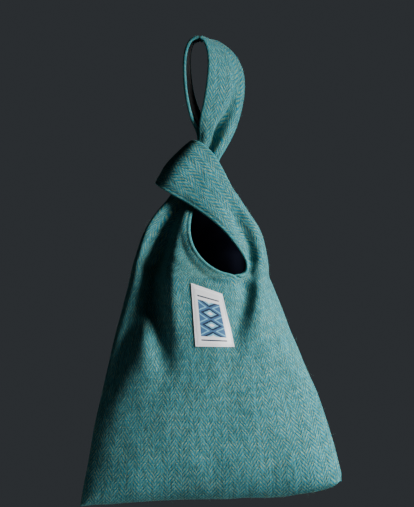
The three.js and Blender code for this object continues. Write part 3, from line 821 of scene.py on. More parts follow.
def new_mesh(name, points, faces, cloth=None, caps=(), smooth=True):
    """A mesh object in metres from points in millimetres, with cloth coordinates as a UV map in metres."""
    mesh = bpy.data.meshes.new(name)
    mesh.from_pydata((np.asarray(points) * MM).tolist(), [], np.asarray(faces).tolist() + list(caps))
    if cloth is not None:
        corners = np.empty(len(mesh.loops), int)
        mesh.loops.foreach_get("vertex_index", corners)
        layer = mesh.uv_layers.new(name="cloth")
        layer.data.foreach_set("uv", (np.asarray(cloth)[corners] * MM).astype(np.float32).ravel())
    mesh.polygons.foreach_set("use_smooth", np.full(len(mesh.polygons), smooth))
    mesh.update()
    obj = bpy.data.objects.new(name, mesh)
    bpy.context.collection.objects.link(obj)
    return obj


def add_attribute(obj, name, values):
    """A number for each point of a mesh, which its material reads."""
    layer = obj.data.attributes.new(name, "FLOAT", "POINT")
    layer.data.foreach_set("value", np.asarray(values, np.float32))


def dress(piece, material):
    """Gives a piece its material, and says which body it rides on."""
    piece.data.materials.append(material)
    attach(piece, "root")


class Value:
    """A socket in a material whose operators add Math nodes."""

    def __init__(self, shader, socket):
        self.shader = shader
        self.socket = socket

    def math(self, operation, *others):
        return self.shader.math(operation, self, *others)

    def __add__(self, other):
        return self.math("ADD", other)

    def __sub__(self, other):
        return self.math("SUBTRACT", other)

    def __mul__(self, other):
        return self.math("MULTIPLY", other)

    def __truediv__(self, other):
        return self.math("DIVIDE", other)

    def __mod__(self, other):
        return self.math("FLOORED_MODULO", other)

    def __lt__(self, other):
        return self.math("LESS_THAN", other)

    def __gt__(self, other):
        return self.math("GREATER_THAN", other)

    def __rsub__(self, other):
        return self.shader.math("SUBTRACT", other, self)

    __radd__ = __add__
    __rmul__ = __mul__

    def floor(self):
        return self.math("FLOOR")

    def fract(self):
        return self.math("FRACT")

    def abs(self):
        return self.math("ABSOLUTE")

    def hump(self):
        """1 half way between whole numbers and 0 at them, on a parabola."""
        way = self.fract() * 2 - 1
        return 1 - way * way


class Shader:
    """A material's node tree, with one method for any node and short ones for what is used most."""

    def __init__(self, name):
        self.material = bpy.data.materials.new(name)
        self.material.use_nodes = True
        self.tree = self.material.node_tree
        self.tree.nodes.clear()

    def node(self, kind, settings=None, **inputs):
        """Any node: its type, its settings, and values or links for its sockets."""
        node = self.tree.nodes.new(kind)
        for key, value in (settings or {}).items():
            setattr(node, key, value)
        for key, value in inputs.items():
            self.feed(node.inputs[key.replace("_", " ")], value)
        return node

    def feed(self, socket, value):
        """Links a socket, or sets its value."""
        if isinstance(value, Value):
            self.tree.links.new(value.socket, socket)
        elif isinstance(value, bpy.types.NodeSocket):
            self.tree.links.new(value, socket)
        else:
            socket.default_value = value

    def math(self, operation, *values):
        node = self.node("ShaderNodeMath", {"operation": operation})
        for socket, value in zip(node.inputs, values):
            self.feed(socket, value)
        return Value(self, node.outputs[0])

    def uv(self):
        """The piece's cloth coordinates, in metres."""
        node = self.node("ShaderNodeUVMap", {"uv_map": "cloth"})
        parts = self.node("ShaderNodeSeparateXYZ", Vector=node.outputs["UV"])
        return Value(self, parts.outputs["X"]), Value(self, parts.outputs["Y"])

    def attribute(self, name):
        return Value(self, self.node("ShaderNodeAttribute", {"attribute_name": name}).outputs["Fac"])

    def vector(self, x, y, z=0.0):
        return self.node("ShaderNodeCombineXYZ", X=x, Y=y, Z=z).outputs["Vector"]

    def place(self):
        """The place on the piece, in metres."""
        return self.node("ShaderNodeTexCoord").outputs["Object"]

    def noise(self, vector, scale, detail=2.0, roughness=0.5):
        node = self.node(
            "ShaderNodeTexNoise", Vector=vector, Scale=scale, Detail=detail, Roughness=roughness
        )
        return Value(self, node.outputs["Fac"])

    def chance(self, vector):
        """A random number from 0 to 1 for each value of a vector."""
        node = self.node("ShaderNodeTexWhiteNoise", {"noise_dimensions": "3D"}, Vector=vector)
        return Value(self, node.outputs["Value"])

    def blend(self, factor, first, second, how="MIX"):
        node = self.node("ShaderNodeMix", {"data_type": "RGBA", "blend_type": how})
        self.feed(node.inputs[0], factor)
        self.feed(node.inputs[6], first)
        self.feed(node.inputs[7], second)
        return node.outputs[2]

    def shaded(self, color, tone):
        """A colour times a number."""
        grey = self.node("ShaderNodeCombineColor", Red=tone, Green=tone, Blue=tone).outputs[0]
        return self.blend(1.0, color, grey, "MULTIPLY")

    def finish(self, color, height, depth, strength, roughness, **constants):
        """Ends the tree: a Principled shader with the colour, and a bump of the height at a depth in m."""
        normal = self.node("ShaderNodeBump", Strength=strength, Distance=depth, Height=height)
        surface = self.node(
            "ShaderNodeBsdfPrincipled",
            Base_Color=color,
            Roughness=roughness,
            Normal=normal.outputs["Normal"],
            **constants,
        )
        self.node("ShaderNodeOutputMaterial", Surface=surface.outputs["BSDF"])
        return self.material


def wool_hair(look):
    """Loose wool fibres in tints between two colours."""
    shader = Shader("wool hair")
    tint = shader.noise(shader.place(), 400.0)
    color = shader.blend(tint, look.hair_dark, look.hair_light)
    return shader.finish(color, tint, depth=0.00001, strength=0.2, roughness=0.9, Specular_IOR_Level=0.2)


def herringbone_wool(look):
    """Heavy 2/2 herringbone: a float of two picks climbs one end at a time and turns back with each stripe of
    ends. Ends are blue and picks pale, every yarn has its own tint, hairs blur them, and each yarn is painted
    darker where it dips between its neighbours, as painted shade."""
    shader = Shader("herringbone wool")
    across, up = shader.uv()
    place = shader.place()
    drift = shader.noise(place, 35.0) - 0.5
    wobble = shader.noise(place, 280.0) - 0.5
    ragged = shader.noise(place, 1700.0, 3.0, 0.6) - 0.5
    u = across / (look.end_pitch * MM) + drift * 0.7 + wobble * 0.6 + ragged * 0.45
    v = up / (look.pick_pitch * MM) + drift * 0.9 - wobble * 0.6 - ragged * 0.45
    end, pick = u.floor(), v.floor()
    stripe = (u / look.stripe_ends).floor() % 2
    climb = (1 - stripe * 2) * end
    step = (pick + climb + stripe) % 4
    end_on_top = step < 1.5
    end_height = u.hump() * (0.55 + 0.45 * ((step + v.fract()) / 2).hump())
    pick_height = v.hump() * 0.85
    height = end_on_top * end_height + (1 - end_on_top) * pick_height
    pick_shows = (1 - end_on_top) * ((v.hump() - look.pick_edge) * 4 + 0.5)
    end_tint = shader.chance(shader.vector(end, (v / 37).floor(), 1.0))
    pick_tint = shader.chance(shader.vector((u / 41).floor(), pick, 2.0))
    slub = shader.noise(shader.vector(u * 0.9, v * 0.12), 1.0)
    fleck = shader.noise(place, 900.0, 3.0, 0.7)
    warp = shader.blend(end_tint, look.end_dark, look.end_light)
    weft = shader.blend(pick_tint * 0.6 + slub * 0.4, look.pick_dark, look.pick_light)
    cloth = shader.blend(pick_shows, warp, weft)
    speck = shader.chance(shader.vector(end, pick - step, 3.0))
    haze = shader.noise(place, 55.0, 3.0)
    stray = shader.chance(shader.vector(end, pick - step, 5.0)) > 0.76
    cloth = shader.blend(stray * 0.5, cloth, look.fleck)
    cloth = shader.blend(fleck * 0.35 * haze, cloth, look.fleck)
    # Painted shade: the height term darkens each yarn where it dips between its neighbours; the fleck and
    # speck terms are random tone.
    shade = 0.18 + 0.32 * height + 0.4 * fleck + 0.6 * speck
    cloth = shader.shaded(cloth, shade)
    # The cloth is tinted towards a lighter teal by the free edges, fully over their rolls and on the inner
    # face.
    cloth = shader.blend(shader.attribute("edge_tint") * 0.35, cloth, look.edge_tint)
    fuzz = shader.noise(place, 2600.0, 2.0, 0.6)
    return shader.finish(
        cloth,
        height * 0.75 + fuzz * 0.35 + fleck * 0.3,
        depth=0.00055,
        strength=0.75,
        roughness=0.94,
        Specular_IOR_Level=0.15,
        Sheen_Weight=look.sheen,
        Sheen_Roughness=0.45,
        Sheen_Tint=(0.08, 0.8, 0.8, 1.0),
    )


def lining_cotton(look):
    """Fine plain-woven navy cotton, darkened to almost black as painted shade for the dark inside of the bag,
    with slightly uneven threads.
    """
    shader = Shader("lining cotton")
    across, up = shader.uv()
    pitch = look.lining_pitch * MM
    u, v = across / pitch, up / pitch
    over = ((u.floor() + v.floor()) % 2) < 0.5
    height = over * u.hump() + (1 - over) * v.hump()
    tint = shader.chance(shader.vector(u.floor(), v.floor(), 3.0)) * 0.5
    patchy = shader.noise(shader.place(), 40.0, 3.0)
    color = shader.blend(tint + patchy * 0.5, look.lining_dark_shaded, look.lining_light_shaded)
    return shader.finish(color, height, depth=0.0001, strength=0.6, roughness=0.9, Specular_IOR_Level=0.05)


def sewing_thread(name, dark, light):
    """Twisted thread: fine slanted plies in two close shades, painted darker in the grooves between the plies
    as painted shade, with a little random tone.
    """
    shader = Shader(name)
    place = shader.place()
    parts = shader.node("ShaderNodeSeparateXYZ", Vector=place)
    slant = Value(shader, parts.outputs["X"]) + Value(shader, parts.outputs["Z"]) * 1.3
    ply = (slant / 0.0006).hump()
    # Painted shade: each ply is lighter on its crest and darker in the groove beside it; the noise is random
    # tone.
    color = shader.blend(ply * 0.7 + shader.noise(place, 700.0) * 0.3, dark, light)
    return shader.finish(color, ply, depth=0.0001, strength=0.5, roughness=0.75, Specular_IOR_Level=0.3)


def label_weave(look):
    """A close-woven white label with a plain blue band of lozenges: every thread crossing takes one colour,
    so the pattern's edges step from thread to thread."""
    shader = Shader("label weave")
    across, up = shader.uv()
    pitch = look.label_thread * MM
    u, v = across / pitch, up / pitch
    x = (u.floor() + 0.5) * look.label_thread
    y = (v.floor() + 0.5) * look.label_thread
    width, height = look.label_width, look.label_height
    middle = (x - width / 2).abs()
    field = (middle < width * 0.33) * ((y - height * 0.47).abs() < height * 0.3)
    cell = (y - height * 0.47) / (height * 0.2)
    lozenge = (middle / (width * 0.3)) + ((cell.fract() - 0.5).abs() * 2)
    navy = (lozenge < 0.92) * field
    pale = (lozenge < 0.6) * field
    heart = (lozenge < 0.3) * field
    dots = ((lozenge - 1.35).abs() < 0.1) * field
    rule = ((y - height * 0.83).abs() < 0.7) + ((y - height * 0.11).abs() < 0.7)
    rule = rule * (middle < width * 0.33)
    color = shader.blend(field, look.label_white, look.label_blue)
    color = shader.blend(dots, color, look.label_cyan)
    color = shader.blend(navy, color, look.label_navy)
    color = shader.blend(pale, color, look.label_cyan)
    color = shader.blend(heart, color, look.label_white)
    color = shader.blend(rule, color, look.label_navy)
    over = ((u.floor() + v.floor()) % 2) < 0.5
    weave = over * u.hump() + (1 - over) * v.hump()
    # Painted shade: the weave term darkens each thread where it dips under the next; the noise is random
    # tone.
    tone = 0.9 + weave * 0.08 + shader.noise(shader.place(), 300.0) * 0.06
    color = shader.shaded(color, tone)
    return shader.finish(
        color, weave, depth=0.00012, strength=0.5, roughness=0.62, Specular_IOR_Level=0.35, Sheen_Weight=0.15
    )


def plain_floor(color):
    """Matt pale floor with a faint mottle."""
    shader = Shader("pale floor")
    mottle = shader.noise(shader.place(), 6.0, 4.0)
    shade = shader.blend(mottle, tuple(0.96 * c for c in color[:3]) + (1.0,), tuple(color))
    return shader.finish(shade, mottle, depth=0.0002, strength=0.1, roughness=0.9)


def color_property(name, description, default):
    """An opaque colour setting."""
    return FloatVectorProperty(
        name=name, description=description, default=default + (1.0,), size=4, min=0, max=1, subtype="COLOR"
    )


class KnotBagCloth(bpy.types.PropertyGroup):
    """Sizes of the cloth, its edges and its stitches, in millimetres."""

    roll: FloatProperty(name="Roll", description="Radius of a rolled edge, mm", default=1.85)
    groove_at: FloatProperty(name="Groove", description="Way from an edge to its stitching, mm", default=4.1)
    groove_depth: FloatProperty(name="Groove depth", description="How deep stitching pulls, mm", default=0.38)
    seam_depth: FloatProperty(name="Seam depth", description="How deep a seam pinches, mm", default=0.9)
    stitch: FloatProperty(name="Stitch", description="Length of a stitch with its gap, mm", default=3.6)
    thread: FloatProperty(name="Thread", description="Radius of the sewing thread, mm", default=0.24)
    mouth_round: FloatProperty(name="Mouth", description="Rounding of the mouth's bottom, mm", default=10.0)
    ripple: FloatProperty(name="Ripple", description="Height of the cloth's unevenness, mm", default=0.3)
    lip: FloatProperty(name="Lip", description="How far the mouth's lip flares, mm", default=2.6)
    tweed: FloatProperty(name="Tweed", description="Thickness of the tweed, mm", default=1.1)
    lining: FloatProperty(name="Lining", description="Thickness of the lining, mm", default=0.8)
    lining_inset: FloatProperty(name="Lining inset", description="Lining's way from an edge, mm", default=3.4)
    lining_depth: FloatProperty(name="Lining depth", description="Lining under the face, mm", default=2.5)
    hairs: IntProperty(name="Hairs", description="Number of loose wool hairs", default=5200, min=0)
    hair_length: FloatProperty(name="Hair length", description="Longest loose hair, mm", default=5.0)
    hair_radius: FloatProperty(name="Hair radius", description="Radius at a hair's root, mm", default=0.06)


class KnotBagLook(bpy.types.PropertyGroup):
    """Colours and thread counts of the cloths."""

    end_pitch: FloatProperty(name="End pitch", description="Way between ends, mm", default=1.03)
    pick_pitch: FloatProperty(name="Pick pitch", description="Way between picks, mm", default=1.35)
    stripe_ends: FloatProperty(name="Stripe", description="Ends in one stripe of the herringbone", default=8)
    pick_edge: FloatProperty(name="Pick edge", description="Share of a pick sunk between ends", default=0.68)
    sheen: FloatProperty(name="Sheen", description="Soft shine of the wool's hairs", default=0.08)
    end_dark: color_property("End, dark", "Darker blue ends", (0.003, 0.118, 0.192))
    end_light: color_property("End, light", "Lighter blue ends", (0.01, 0.212, 0.318))
    pick_dark: color_property("Pick, dark", "Darker pale picks", (0.115, 0.26, 0.155))
    pick_light: color_property("Pick, light", "Lighter pale picks", (0.34, 0.46, 0.225))
    fleck: color_property("Fleck", "Tint of the loose fibres", (0.045, 0.23, 0.25))
    # Lighter teal that the cloth takes on by its free edges and over their rolls.
    edge_tint: color_property("Worn edge", "Tint of rubbed edges", (0.05, 0.29, 0.31))
    hair_dark: color_property("Hair, dark", "Darker loose hairs", (0.03, 0.16, 0.17))
    hair_light: color_property("Hair, light", "Lighter loose hairs", (0.2, 0.36, 0.3))
    lining_pitch: FloatProperty(name="Lining pitch", description="Way between its threads, mm", default=0.4)
    # The lining's navy, darkened to almost black: painted shade for the inside of the bag.
    lining_dark_shaded: color_property("Lining, dark", "Darker lining threads", (0.002, 0.0025, 0.006))
    lining_light_shaded: color_property("Lining, light", "Lighter lining threads", (0.0035, 0.0045, 0.011))
    # The thread's colours in the painted shade between its plies and on their crests.
    thread_shaded: color_property("Thread, dark", "Darker side of the thread", (0.01, 0.05, 0.06))
    thread_lit: color_property("Thread, light", "Lighter side of the thread", (0.03, 0.13, 0.14))
    label_thread: FloatProperty(name="Label thread", description="Way between label threads, mm", default=0.5)
    label_width: FloatProperty(name="Label width", description="Mean width of the label, mm", default=41)
    label_height: FloatProperty(name="Label height", description="Mean height of the label, mm", default=67)
    label_white: color_property("Label white", "Ground of the label", (0.96, 0.97, 0.98))
    label_blue: color_property("Label blue", "Field of the pattern", (0.05, 0.15, 0.3))
    label_navy: color_property("Label navy", "Dark figures of the pattern", (0.008, 0.022, 0.06))
    label_cyan: color_property("Label pale blue", "Pale figures of the pattern", (0.2, 0.55, 0.75))


class KnotBagStage(bpy.types.PropertyGroup):
    """Camera, floor and light."""

    mm_per_pixel: FloatProperty(name="Scale", description="Millimetres to a pixel of the photo", default=1.15)
    camera_way: FloatProperty(name="Camera", description="Way to the camera", default=4.0, unit="LENGTH")
    floor_drop: FloatProperty(name="Floor", description="Floor under the bag", default=0.3, unit="LENGTH")
    floor_radius: FloatProperty(name="Floor radius", description="Its size", default=1.2, unit="LENGTH")
    key_power: FloatProperty(name="Key", description="Power of the main light", default=6.7, unit="POWER")
    back_power: FloatProperty(name="Back", description="Power of the rear light", default=20.0, unit="POWER")
    air: FloatProperty(name="Surround", description="Strength of the light from all round", default=0.015)
    floor_color: color_property("Floor colour", "Colour of the floor", (0.75, 0.75, 0.74))
    air_color: color_property("Surround colour", "Colour all round", (0.82, 0.86, 0.9))
    backdrop: color_property("Backdrop", "Colour that shows behind the bag", (0.03, 0.034, 0.038))


def plain_panel(facing, cloth):
    """A panel's surface with its free edges drawn in, its ripples, lip and dimples, and evened out where
    rows of its mesh crowd."""
    panel = Panel(facing, **FINENESS[facing])
    panel.turn_in(cloth.roll, cloth.mouth_round)
    panel.raise_relief(ripples(panel, cloth.ripple) + lip_relief(panel, cloth.lip))
    panel.even_out()
    panel.ease_join()
    panel.raise_relief(dimples(panel))
    return panel


def dressed_panel(facing, cloth):
    """A panel's surface with the stitched grooves and pinched seams of its tweed too."""
    panel = plain_panel(facing, cloth)
    relief = stitched_edge_relief(panel, cloth.groove_at, cloth.groove_depth, cloth.stitch)
    panel.raise_relief(relief + seam_relief(panel, cloth.seam_depth))
    return panel


class KNOTBAG_OT_panels(bpy.types.Operator):
    """Make the two tweed panels"""

    bl_idname = "knotbag.panels"
    bl_label = "Tweed panels"

    def execute(self, context):
        cloth = context.scene.knotbag_cloth
        wool = herringbone_wool(context.scene.knotbag_look)
        for facing, name in PANEL_NAMES.items():
            panel = dressed_panel(facing, cloth)
            points, flat, faces, caps = closed_sheet(panel, cloth.tweed, cloth.roll)
            obj = new_mesh(f"{name}_tweed", points, faces, flat, caps)
            edge_tint = np.ones(len(points))
            edge_tint[: len(panel.points)] = bump(panel.from_rim, EDGE_TINT_REACH)
            add_attribute(obj, "edge_tint", edge_tint)
            dress(obj, wool)
            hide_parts(f"{name}_panel")
        return {"FINISHED"}


class KNOTBAG_OT_linings(bpy.types.Operator):
    """Make the two linings"""

    bl_idname = "knotbag.linings"
    bl_label = "Linings"

    def execute(self, context):
        cloth = context.scene.knotbag_cloth
        cotton = lining_cotton(context.scene.knotbag_look)
        for facing, name in PANEL_NAMES.items():
            panel = plain_panel(facing, cloth)
            points, flat, faces = inner_sheet(panel, cloth.lining_inset, cloth.lining_depth, cloth.lining)
            obj = new_mesh(f"{name}_lining_cotton", points, faces, flat)
            dress(obj, cotton)
            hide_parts(f"{name}_lining")
        return {"FINISHED"}


def stitches(middles, tangents, normals, length, radius):
    """Stitches as slim spindles: rings of points whose radius swells from each end, dipped at both ends."""
    sides, rings = 6, 7
    t = np.linspace(-1, 1, rings)
    turn = np.linspace(0, 2 * math.pi, sides, endpoint=False)
    swell = radius * np.sqrt(np.maximum(1 - t**4, 0.02))
    dip = -radius * 1.1 * t**4
    binormals = np.cross(tangents, normals)
    middle, ahead, up, aside = (a[:, None, None] for a in (middles, tangents, normals, binormals))
    points = (
        middle
        + ahead * (t * length / 2)[None, :, None, None]
        + up * (dip[:, None] + swell[:, None] * np.sin(turn))[None, ..., None]
        + aside * (swell[:, None] * np.cos(turn))[None, ..., None]
    )
    index = np.arange(rings * sides).reshape(rings, sides)
    around = np.concatenate([index, index[:, :1]], axis=1)
    one = quads(around)[:, ::-1]
    fan = np.stack([index[0, [0, 1, 2, 3]], index[0, [0, 3, 4, 5]]])
    last = np.stack([index[-1, [3, 2, 1, 0]], index[-1, [5, 4, 3, 0]]])
    one = np.concatenate([one, fan, last])
    faces = (one[None] + (np.arange(len(middles)) * rings * sides)[:, None, None]).reshape(-1, 4)
    return points.reshape(-1, 3), faces


def find_on_front(x, z):
    """Shares across and up the front's body under places in x and z, by Newton steps on its surface."""
    across, share = (x - GUESS_LEFT) / GUESS_WIDTH, (z - GUESS_FOOT) / GUESS_HEIGHT
    for _ in range(GUESS_ROUNDS):
        here, right, up = (
            body_surface(FRONT, across + a, share + b)[..., ::2] for a, b in ((0, 0), (1e-4, 0), (0, 1e-4))
        )
        miss = np.stack([x, z], axis=-1) - here
        jacobian = np.stack([right - here, up - here], axis=-1) / 1e-4
        step = np.linalg.solve(jacobian, miss[..., None])[..., 0]
        across, share = across + step[..., 0], share + step[..., 1]
    return across, share


def on_front(u, v):
    """Points and outward directions of the front's body under the label, at shares of its two sides."""
    (bottom_left, bottom_right), (top_left, top_right) = (
        np.array(LABEL_CORNERS[end], float) for end in ("bottom", "top")
    )
    u, v = u[..., None], v[..., None]
    place = mix(mix(bottom_left, bottom_right, u), mix(top_left, top_right, u), v)
    across, share = find_on_front(place[..., 0], place[..., 1])
    here, right, up = (body_surface(FRONT, across + a, share + b) for a, b in ((0, 0), (1e-3, 0), (0, 1e-3)))
    return here, unit(np.cross(right - here, up - here))


def label_ways(size, count):
    """Mesh columns or rows of the label: close together by its edges and even between them."""
    even = np.linspace(LABEL_MARGIN, size - LABEL_MARGIN, count)
    return np.concatenate([LABEL_STEPS, even, size - LABEL_STEPS[::-1]])


def label_lift(edge, end):
    """How far the label's face stands over the panel's plain surface: it rises from its edges, with a groove
    under the stitches, a rounded rim and folded ends that are a little thicker."""
    groove = -0.25 * bump(edge - LABEL_STITCH_INSET, 0.5)
    rim = 0.15 * bump(edge - 0.4, 0.6)
    folded = 0.15 * smoothstep((6.5 - end) / 1.2) * smoothstep(edge / 1.5)
    return 0.85 + 0.35 * smoothstep(edge / 6) + groove + rim + folded


def label_path(way, look):
    """Points and outward directions on the front under the label's stitches, at ways round their path."""
    size = np.array([look.label_width, look.label_height])
    corners = mix(LABEL_STITCH_INSET, size - LABEL_STITCH_INSET, LABEL_ROUND)
    run = along(corners)
    place = [np.interp(way % run[-1], run, corners[:, i]) for i in (0, 1)]
    return on_front(*(p / length for p, length in zip(place, size)))


class KNOTBAG_OT_label(bpy.types.Operator):
    """Make the woven label and its stitches"""

    bl_idname = "knotbag.label"
    bl_label = "Label"

    def execute(self, context):
        look = context.scene.knotbag_look
        cloth = context.scene.knotbag_cloth
        x, y = np.meshgrid(label_ways(look.label_width, 24), label_ways(look.label_height, 40))
        here, normal = on_front(x / look.label_width, y / look.label_height)
        side = np.minimum(x, look.label_width - x)
        end = np.minimum(y, look.label_height - y)
        edge = np.minimum(side, end)
        lift = label_lift(edge, end)
        outer = here + normal * lift[..., None]
        inner = here + normal * LABEL_UNDER
        index = np.arange(x.size).reshape(x.shape)
        loop = np.concatenate([index[0], index[1:, -1], index[-1, -2::-1], index[-2:0:-1, 0]])
        closed = np.append(loop, loop[0])
        faces = np.concatenate(
            [quads(index), quads(index)[:, ::-1] + x.size, quads(np.array([closed + x.size, closed]))]
        )
        flat = np.stack([x, y], axis=-1).reshape(-1, 2)
        points = np.concatenate([outer.reshape(-1, 3), inner.reshape(-1, 3)])
        obj = new_mesh("label_cloth", points, faces, np.concatenate([flat, flat]))
        dress(obj, label_weave(look))
        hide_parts("label")
        self.add_stitches(look, cloth, obj)
        return {"FINISHED"}

    def add_stitches(self, look, cloth, label):
        """A row of white stitches round the label, just inside its edges."""
        run = 2 * (look.label_width + look.label_height - 4 * LABEL_STITCH_INSET)
        count = int(run / LABEL_STITCH_PITCH)
        middles = (np.arange(count) + 0.5) * run / count
        here, normal = label_path(middles, look)
        ahead, _ = label_path(middles + 0.4, look)
        lifted = here + normal * LABEL_STITCH_LIFT
        length = LABEL_STITCH_PITCH * STITCH_SHARE
        points, faces = stitches(lifted, unit(ahead - here), normal, length, cloth.thread * 0.75)
        obj = new_mesh("label_stitches", points, faces)
        dress(obj, sewing_thread("label thread", *LABEL_THREAD))


class KNOTBAG_OT_stitches(bpy.types.Operator):
    """Make the topstitching along the free edges"""

    bl_idname = "knotbag.stitches"
    bl_label = "Topstitching"

    def execute(self, context):
        cloth = context.scene.knotbag_cloth
        look = context.scene.knotbag_look
        thread = sewing_thread("tweed thread", tuple(look.thread_shaded), tuple(look.thread_lit))
        for facing, name in PANEL_NAMES.items():
            panel = dressed_panel(facing, cloth)
            parts, offset = [], 0
            for edge in panel.free_edges:
                ids, line, normal, out, tangent = panel.edge_frames(edge)
                way = along(line)
                inset = cloth.groove_at - cloth.roll
                depth = cloth.groove_depth * (1 if edge == "mouth" else ARM_GROOVE)
                row = line - out * inset - normal * (depth - cloth.thread * (0.7 if edge == "mouth" else 0.2))
                middles = np.arange(4, way[-1] - 3, cloth.stitch)
                middles = middles[np.interp(middles, way, panel.from_crotch()[ids]) > 0.4]
                spots = at_ways(row, way, middles)
                ahead, up = (unit(at_ways(values, way, middles)) for values in (tangent, normal))
                points, faces = stitches(spots, ahead, up, cloth.stitch * STITCH_SHARE, cloth.thread)
                parts.append((points, faces + offset))
                offset += len(points)
            points, faces = (np.concatenate(group) for group in zip(*parts))
            obj = new_mesh(f"{name}_topstitch", points, faces)
            dress(obj, thread)
        return {"FINISHED"}


def hair_roots(panel, count, chance):
    """Random places on a panel's outer face with its outward directions there: faces are drawn by their area,
    more often by the free edges and most often round the knot's tip."""
    corners = [panel.faces[:, i] for i in range(4)]
    a, b, c, d = (panel.points[i] for i in corners)
    area = np.linalg.norm(np.cross(c - a, d - b), axis=1)
    by_edge = bump(panel.edge_distance[panel.faces].mean(axis=1), HAIRY_EDGE)
    by_tip = bump(np.linalg.norm((a + c) / 2 - KNOT_TIP, axis=1), HAIRY_EDGE * 2)
    weights = area * (1 + EDGE_HAIRS * by_edge + TIP_HAIRS * by_tip)
    drawn = chance.choice(len(weights), count, p=weights / weights.sum())
    u, v = chance.random((2, count, 1))
    shares = ((1 - u) * (1 - v), u * (1 - v), u * v, (1 - u) * v)
    roots = sum(share * panel.points[i[drawn]] for share, i in zip(shares, corners))
    normals = unit(sum(share * panel.normals[i[drawn]] for share, i in zip(shares, corners)))
    return roots, normals


def hair_tubes(roots, normals, longest, radius, chance):
    """Hairs as three-sided tubes that thin towards their tips: each leaves the cloth at a random slant and
    bends along a parabola."""
    count, sides = len(roots), 3
    t = np.linspace(0, 1, 5)[:, None, None, None]
    slant = unit(np.cross(normals, unit(chance.normal(size=(count, 3)))))
    heading = unit(normals * chance.uniform(0.2, 1, (count, 1)) + slant)
    bend = chance.normal(0, 0.35, (count, 3)) + [0, 0, -0.15]
    length = longest * chance.uniform(0.25, 1, (count, 1)) ** 1.6
    one = unit(np.cross(heading, normals + 0.01))
    turn = np.arange(sides) * 2 * math.pi / sides
    ring = one[:, None] * np.cos(turn)[:, None] + np.cross(heading, one)[:, None] * np.sin(turn)[:, None]
    path = roots[:, None] + (length * heading)[:, None] * t + (length * bend)[:, None] * t**2
    points = path + ring * radius * (1 - 0.7 * t)
    index = np.arange(points[..., 0].size).reshape(5, count, sides).transpose(1, 0, 2)
    around = np.concatenate([index, index[..., :1]], axis=2)
    low, high = around[:, :-1], around[:, 1:]
    faces = np.stack([low[..., :-1], low[..., 1:], high[..., 1:], high[..., :-1]], axis=-1).reshape(-1, 4)
    caps = np.concatenate([index[:, 0, ::-1], index[:, -1]])
    return points.reshape(-1, 3), faces, caps.tolist()


class KNOTBAG_OT_hairs(bpy.types.Operator):
    """Make the loose wool hairs"""

    bl_idname = "knotbag.hairs"
    bl_label = "Wool hairs"

    def execute(self, context):
        cloth = context.scene.knotbag_cloth
        chance = np.random.default_rng(5)
        panels = [dressed_panel(facing, cloth) for facing in PANEL_NAMES]
        drawn = [hair_roots(panel, cloth.hairs // 2, chance) for panel in panels]
        roots, normals = (np.concatenate(group) for group in zip(*drawn))
        points, faces, caps = hair_tubes(roots, normals, cloth.hair_length, cloth.hair_radius, chance)
        obj = new_mesh("wool_hairs", points, faces, caps=caps)
        dress(obj, wool_hair(context.scene.knotbag_look))
        return {"FINISHED"}


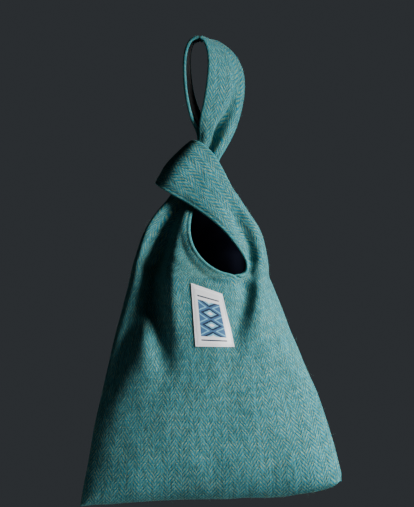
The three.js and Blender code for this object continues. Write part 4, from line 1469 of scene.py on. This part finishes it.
class KNOTBAG_OT_stage(bpy.types.Operator):
    """Make the camera, floor and lights"""

    bl_idname = "knotbag.stage"
    bl_label = "Stage"

    def execute(self, context):
        stage = context.scene.knotbag_stage
        low, high = (Vector(corner) for corner in CAD_BOX)
        self.add_camera(context, stage)
        self.add_floor(stage, low)
        middle = Vector((0.01, 0, (low.z + high.z) / 2))
        self.add_light(context, "key", KEY_TARGET, KEY_OFFSET, KEY_SIZE, KEY_SPREAD, stage.key_power)
        self.add_light(context, "back", middle, BACK_OFFSET, BACK_SIZE, BACK_SPREAD, stage.back_power)
        self.add_surround(context, stage)
        return {"FINISHED"}

    def add_camera(self, context, stage):
        """A camera straight in front, whose frame is the photo's at its scale."""
        data = bpy.data.cameras.new("camera")
        camera = bpy.data.objects.new("camera", data)
        context.collection.objects.link(camera)
        scale = stage.mm_per_pixel * MM
        x = (PIXELS[0] / 2 - ORIGIN_PIXEL[0]) * scale
        z = (ORIGIN_PIXEL[1] - PIXELS[1] / 2) * scale
        camera.location = (x, -stage.camera_way, z)
        camera.rotation_euler = (math.pi / 2, 0, 0)
        data.lens = data.sensor_width * stage.camera_way / (PIXELS[1] * scale)
        data.clip_end = 100
        context.scene.camera = camera

    def add_floor(self, stage, low):
        """A round floor: rings of points out from its middle."""
        radii = np.linspace(0.02, stage.floor_radius, 12) / MM
        turn = np.linspace(0, 2 * math.pi, 64, endpoint=False)
        x, y = radii[:, None] * np.cos(turn), radii[:, None] * np.sin(turn)
        points = np.stack([x, y, np.full(x.shape, (low.z - stage.floor_drop) / MM)], axis=-1).reshape(-1, 3)
        index = np.arange(x.size).reshape(x.shape)
        around = np.concatenate([index, index[:, :1]], axis=1)
        floor = new_mesh("floor", points, quads(around)[:, ::-1], caps=[index[0].tolist()])
        floor.data.materials.append(plain_floor(stage.floor_color))

    def add_light(self, context, name, target, offset, size, spread, power):
        """A disc of light at an offset from its target, turned to it."""
        data = bpy.data.lights.new(name, "AREA")
        data.shape = "DISK"
        data.size = size
        data.spread = math.radians(spread)
        data.energy = power
        light = bpy.data.objects.new(name, data)
        context.collection.objects.link(light)
        light.location = target + offset
        light.rotation_euler = (-offset).to_track_quat("-Z", "Y").to_euler()

    def add_surround(self, context, stage):
        """A faint light from all round, with a plain backdrop where the camera looks past the bag."""
        world = bpy.data.worlds.new("surround")
        world.use_nodes = True
        tree = world.node_tree
        background = tree.nodes["Background"]
        background.inputs["Color"].default_value = stage.air_color
        background.inputs["Strength"].default_value = stage.air
        backdrop = tree.nodes.new("ShaderNodeBackground")
        backdrop.inputs["Color"].default_value = stage.backdrop
        both = tree.nodes.new("ShaderNodeMixShader")
        tree.links.new(tree.nodes.new("ShaderNodeLightPath").outputs["Is Camera Ray"], both.inputs[0])
        tree.links.new(background.outputs[0], both.inputs[1])
        tree.links.new(backdrop.outputs[0], both.inputs[2])
        tree.links.new(both.outputs[0], tree.nodes["World Output"].inputs["Surface"])
        context.scene.world = world


OPERATORS = (
    KNOTBAG_OT_panels,
    KNOTBAG_OT_linings,
    KNOTBAG_OT_label,
    KNOTBAG_OT_stitches,
    KNOTBAG_OT_hairs,
    KNOTBAG_OT_stage,
)


class KNOTBAG_PT_sidebar(bpy.types.Panel):
    """Lists the bag's settings and the operators that make its pieces"""

    bl_idname = "KNOTBAG_PT_sidebar"
    bl_label = "Knot bag"
    bl_space_type = "VIEW_3D"
    bl_region_type = "UI"
    bl_category = "Knot bag"

    def draw(self, context):
        for settings in SETTINGS:
            box = self.layout.box()
            for name in SETTINGS[settings].__annotations__:
                box.prop(getattr(context.scene, settings), name)
        for operator in OPERATORS:
            self.layout.operator(operator.bl_idname)


SETTINGS = {"knotbag_cloth": KnotBagCloth, "knotbag_look": KnotBagLook, "knotbag_stage": KnotBagStage}
CLASSES = (*SETTINGS.values(), *OPERATORS, KNOTBAG_PT_sidebar)


def register():
    for cls in CLASSES:
        bpy.utils.register_class(cls)
    for name, group in SETTINGS.items():
        setattr(bpy.types.Scene, name, PointerProperty(type=group))


def unregister():
    for name in SETTINGS:
        delattr(bpy.types.Scene, name)
    for cls in reversed(CLASSES):
        bpy.utils.unregister_class(cls)


def main():
    register()
    bpy.ops.knotbag.panels()
    bpy.ops.knotbag.linings()
    bpy.ops.knotbag.label()
    bpy.ops.knotbag.stitches()
    bpy.ops.knotbag.hairs()
    bpy.ops.knotbag.stage()


if __name__ == "__main__":
    main()
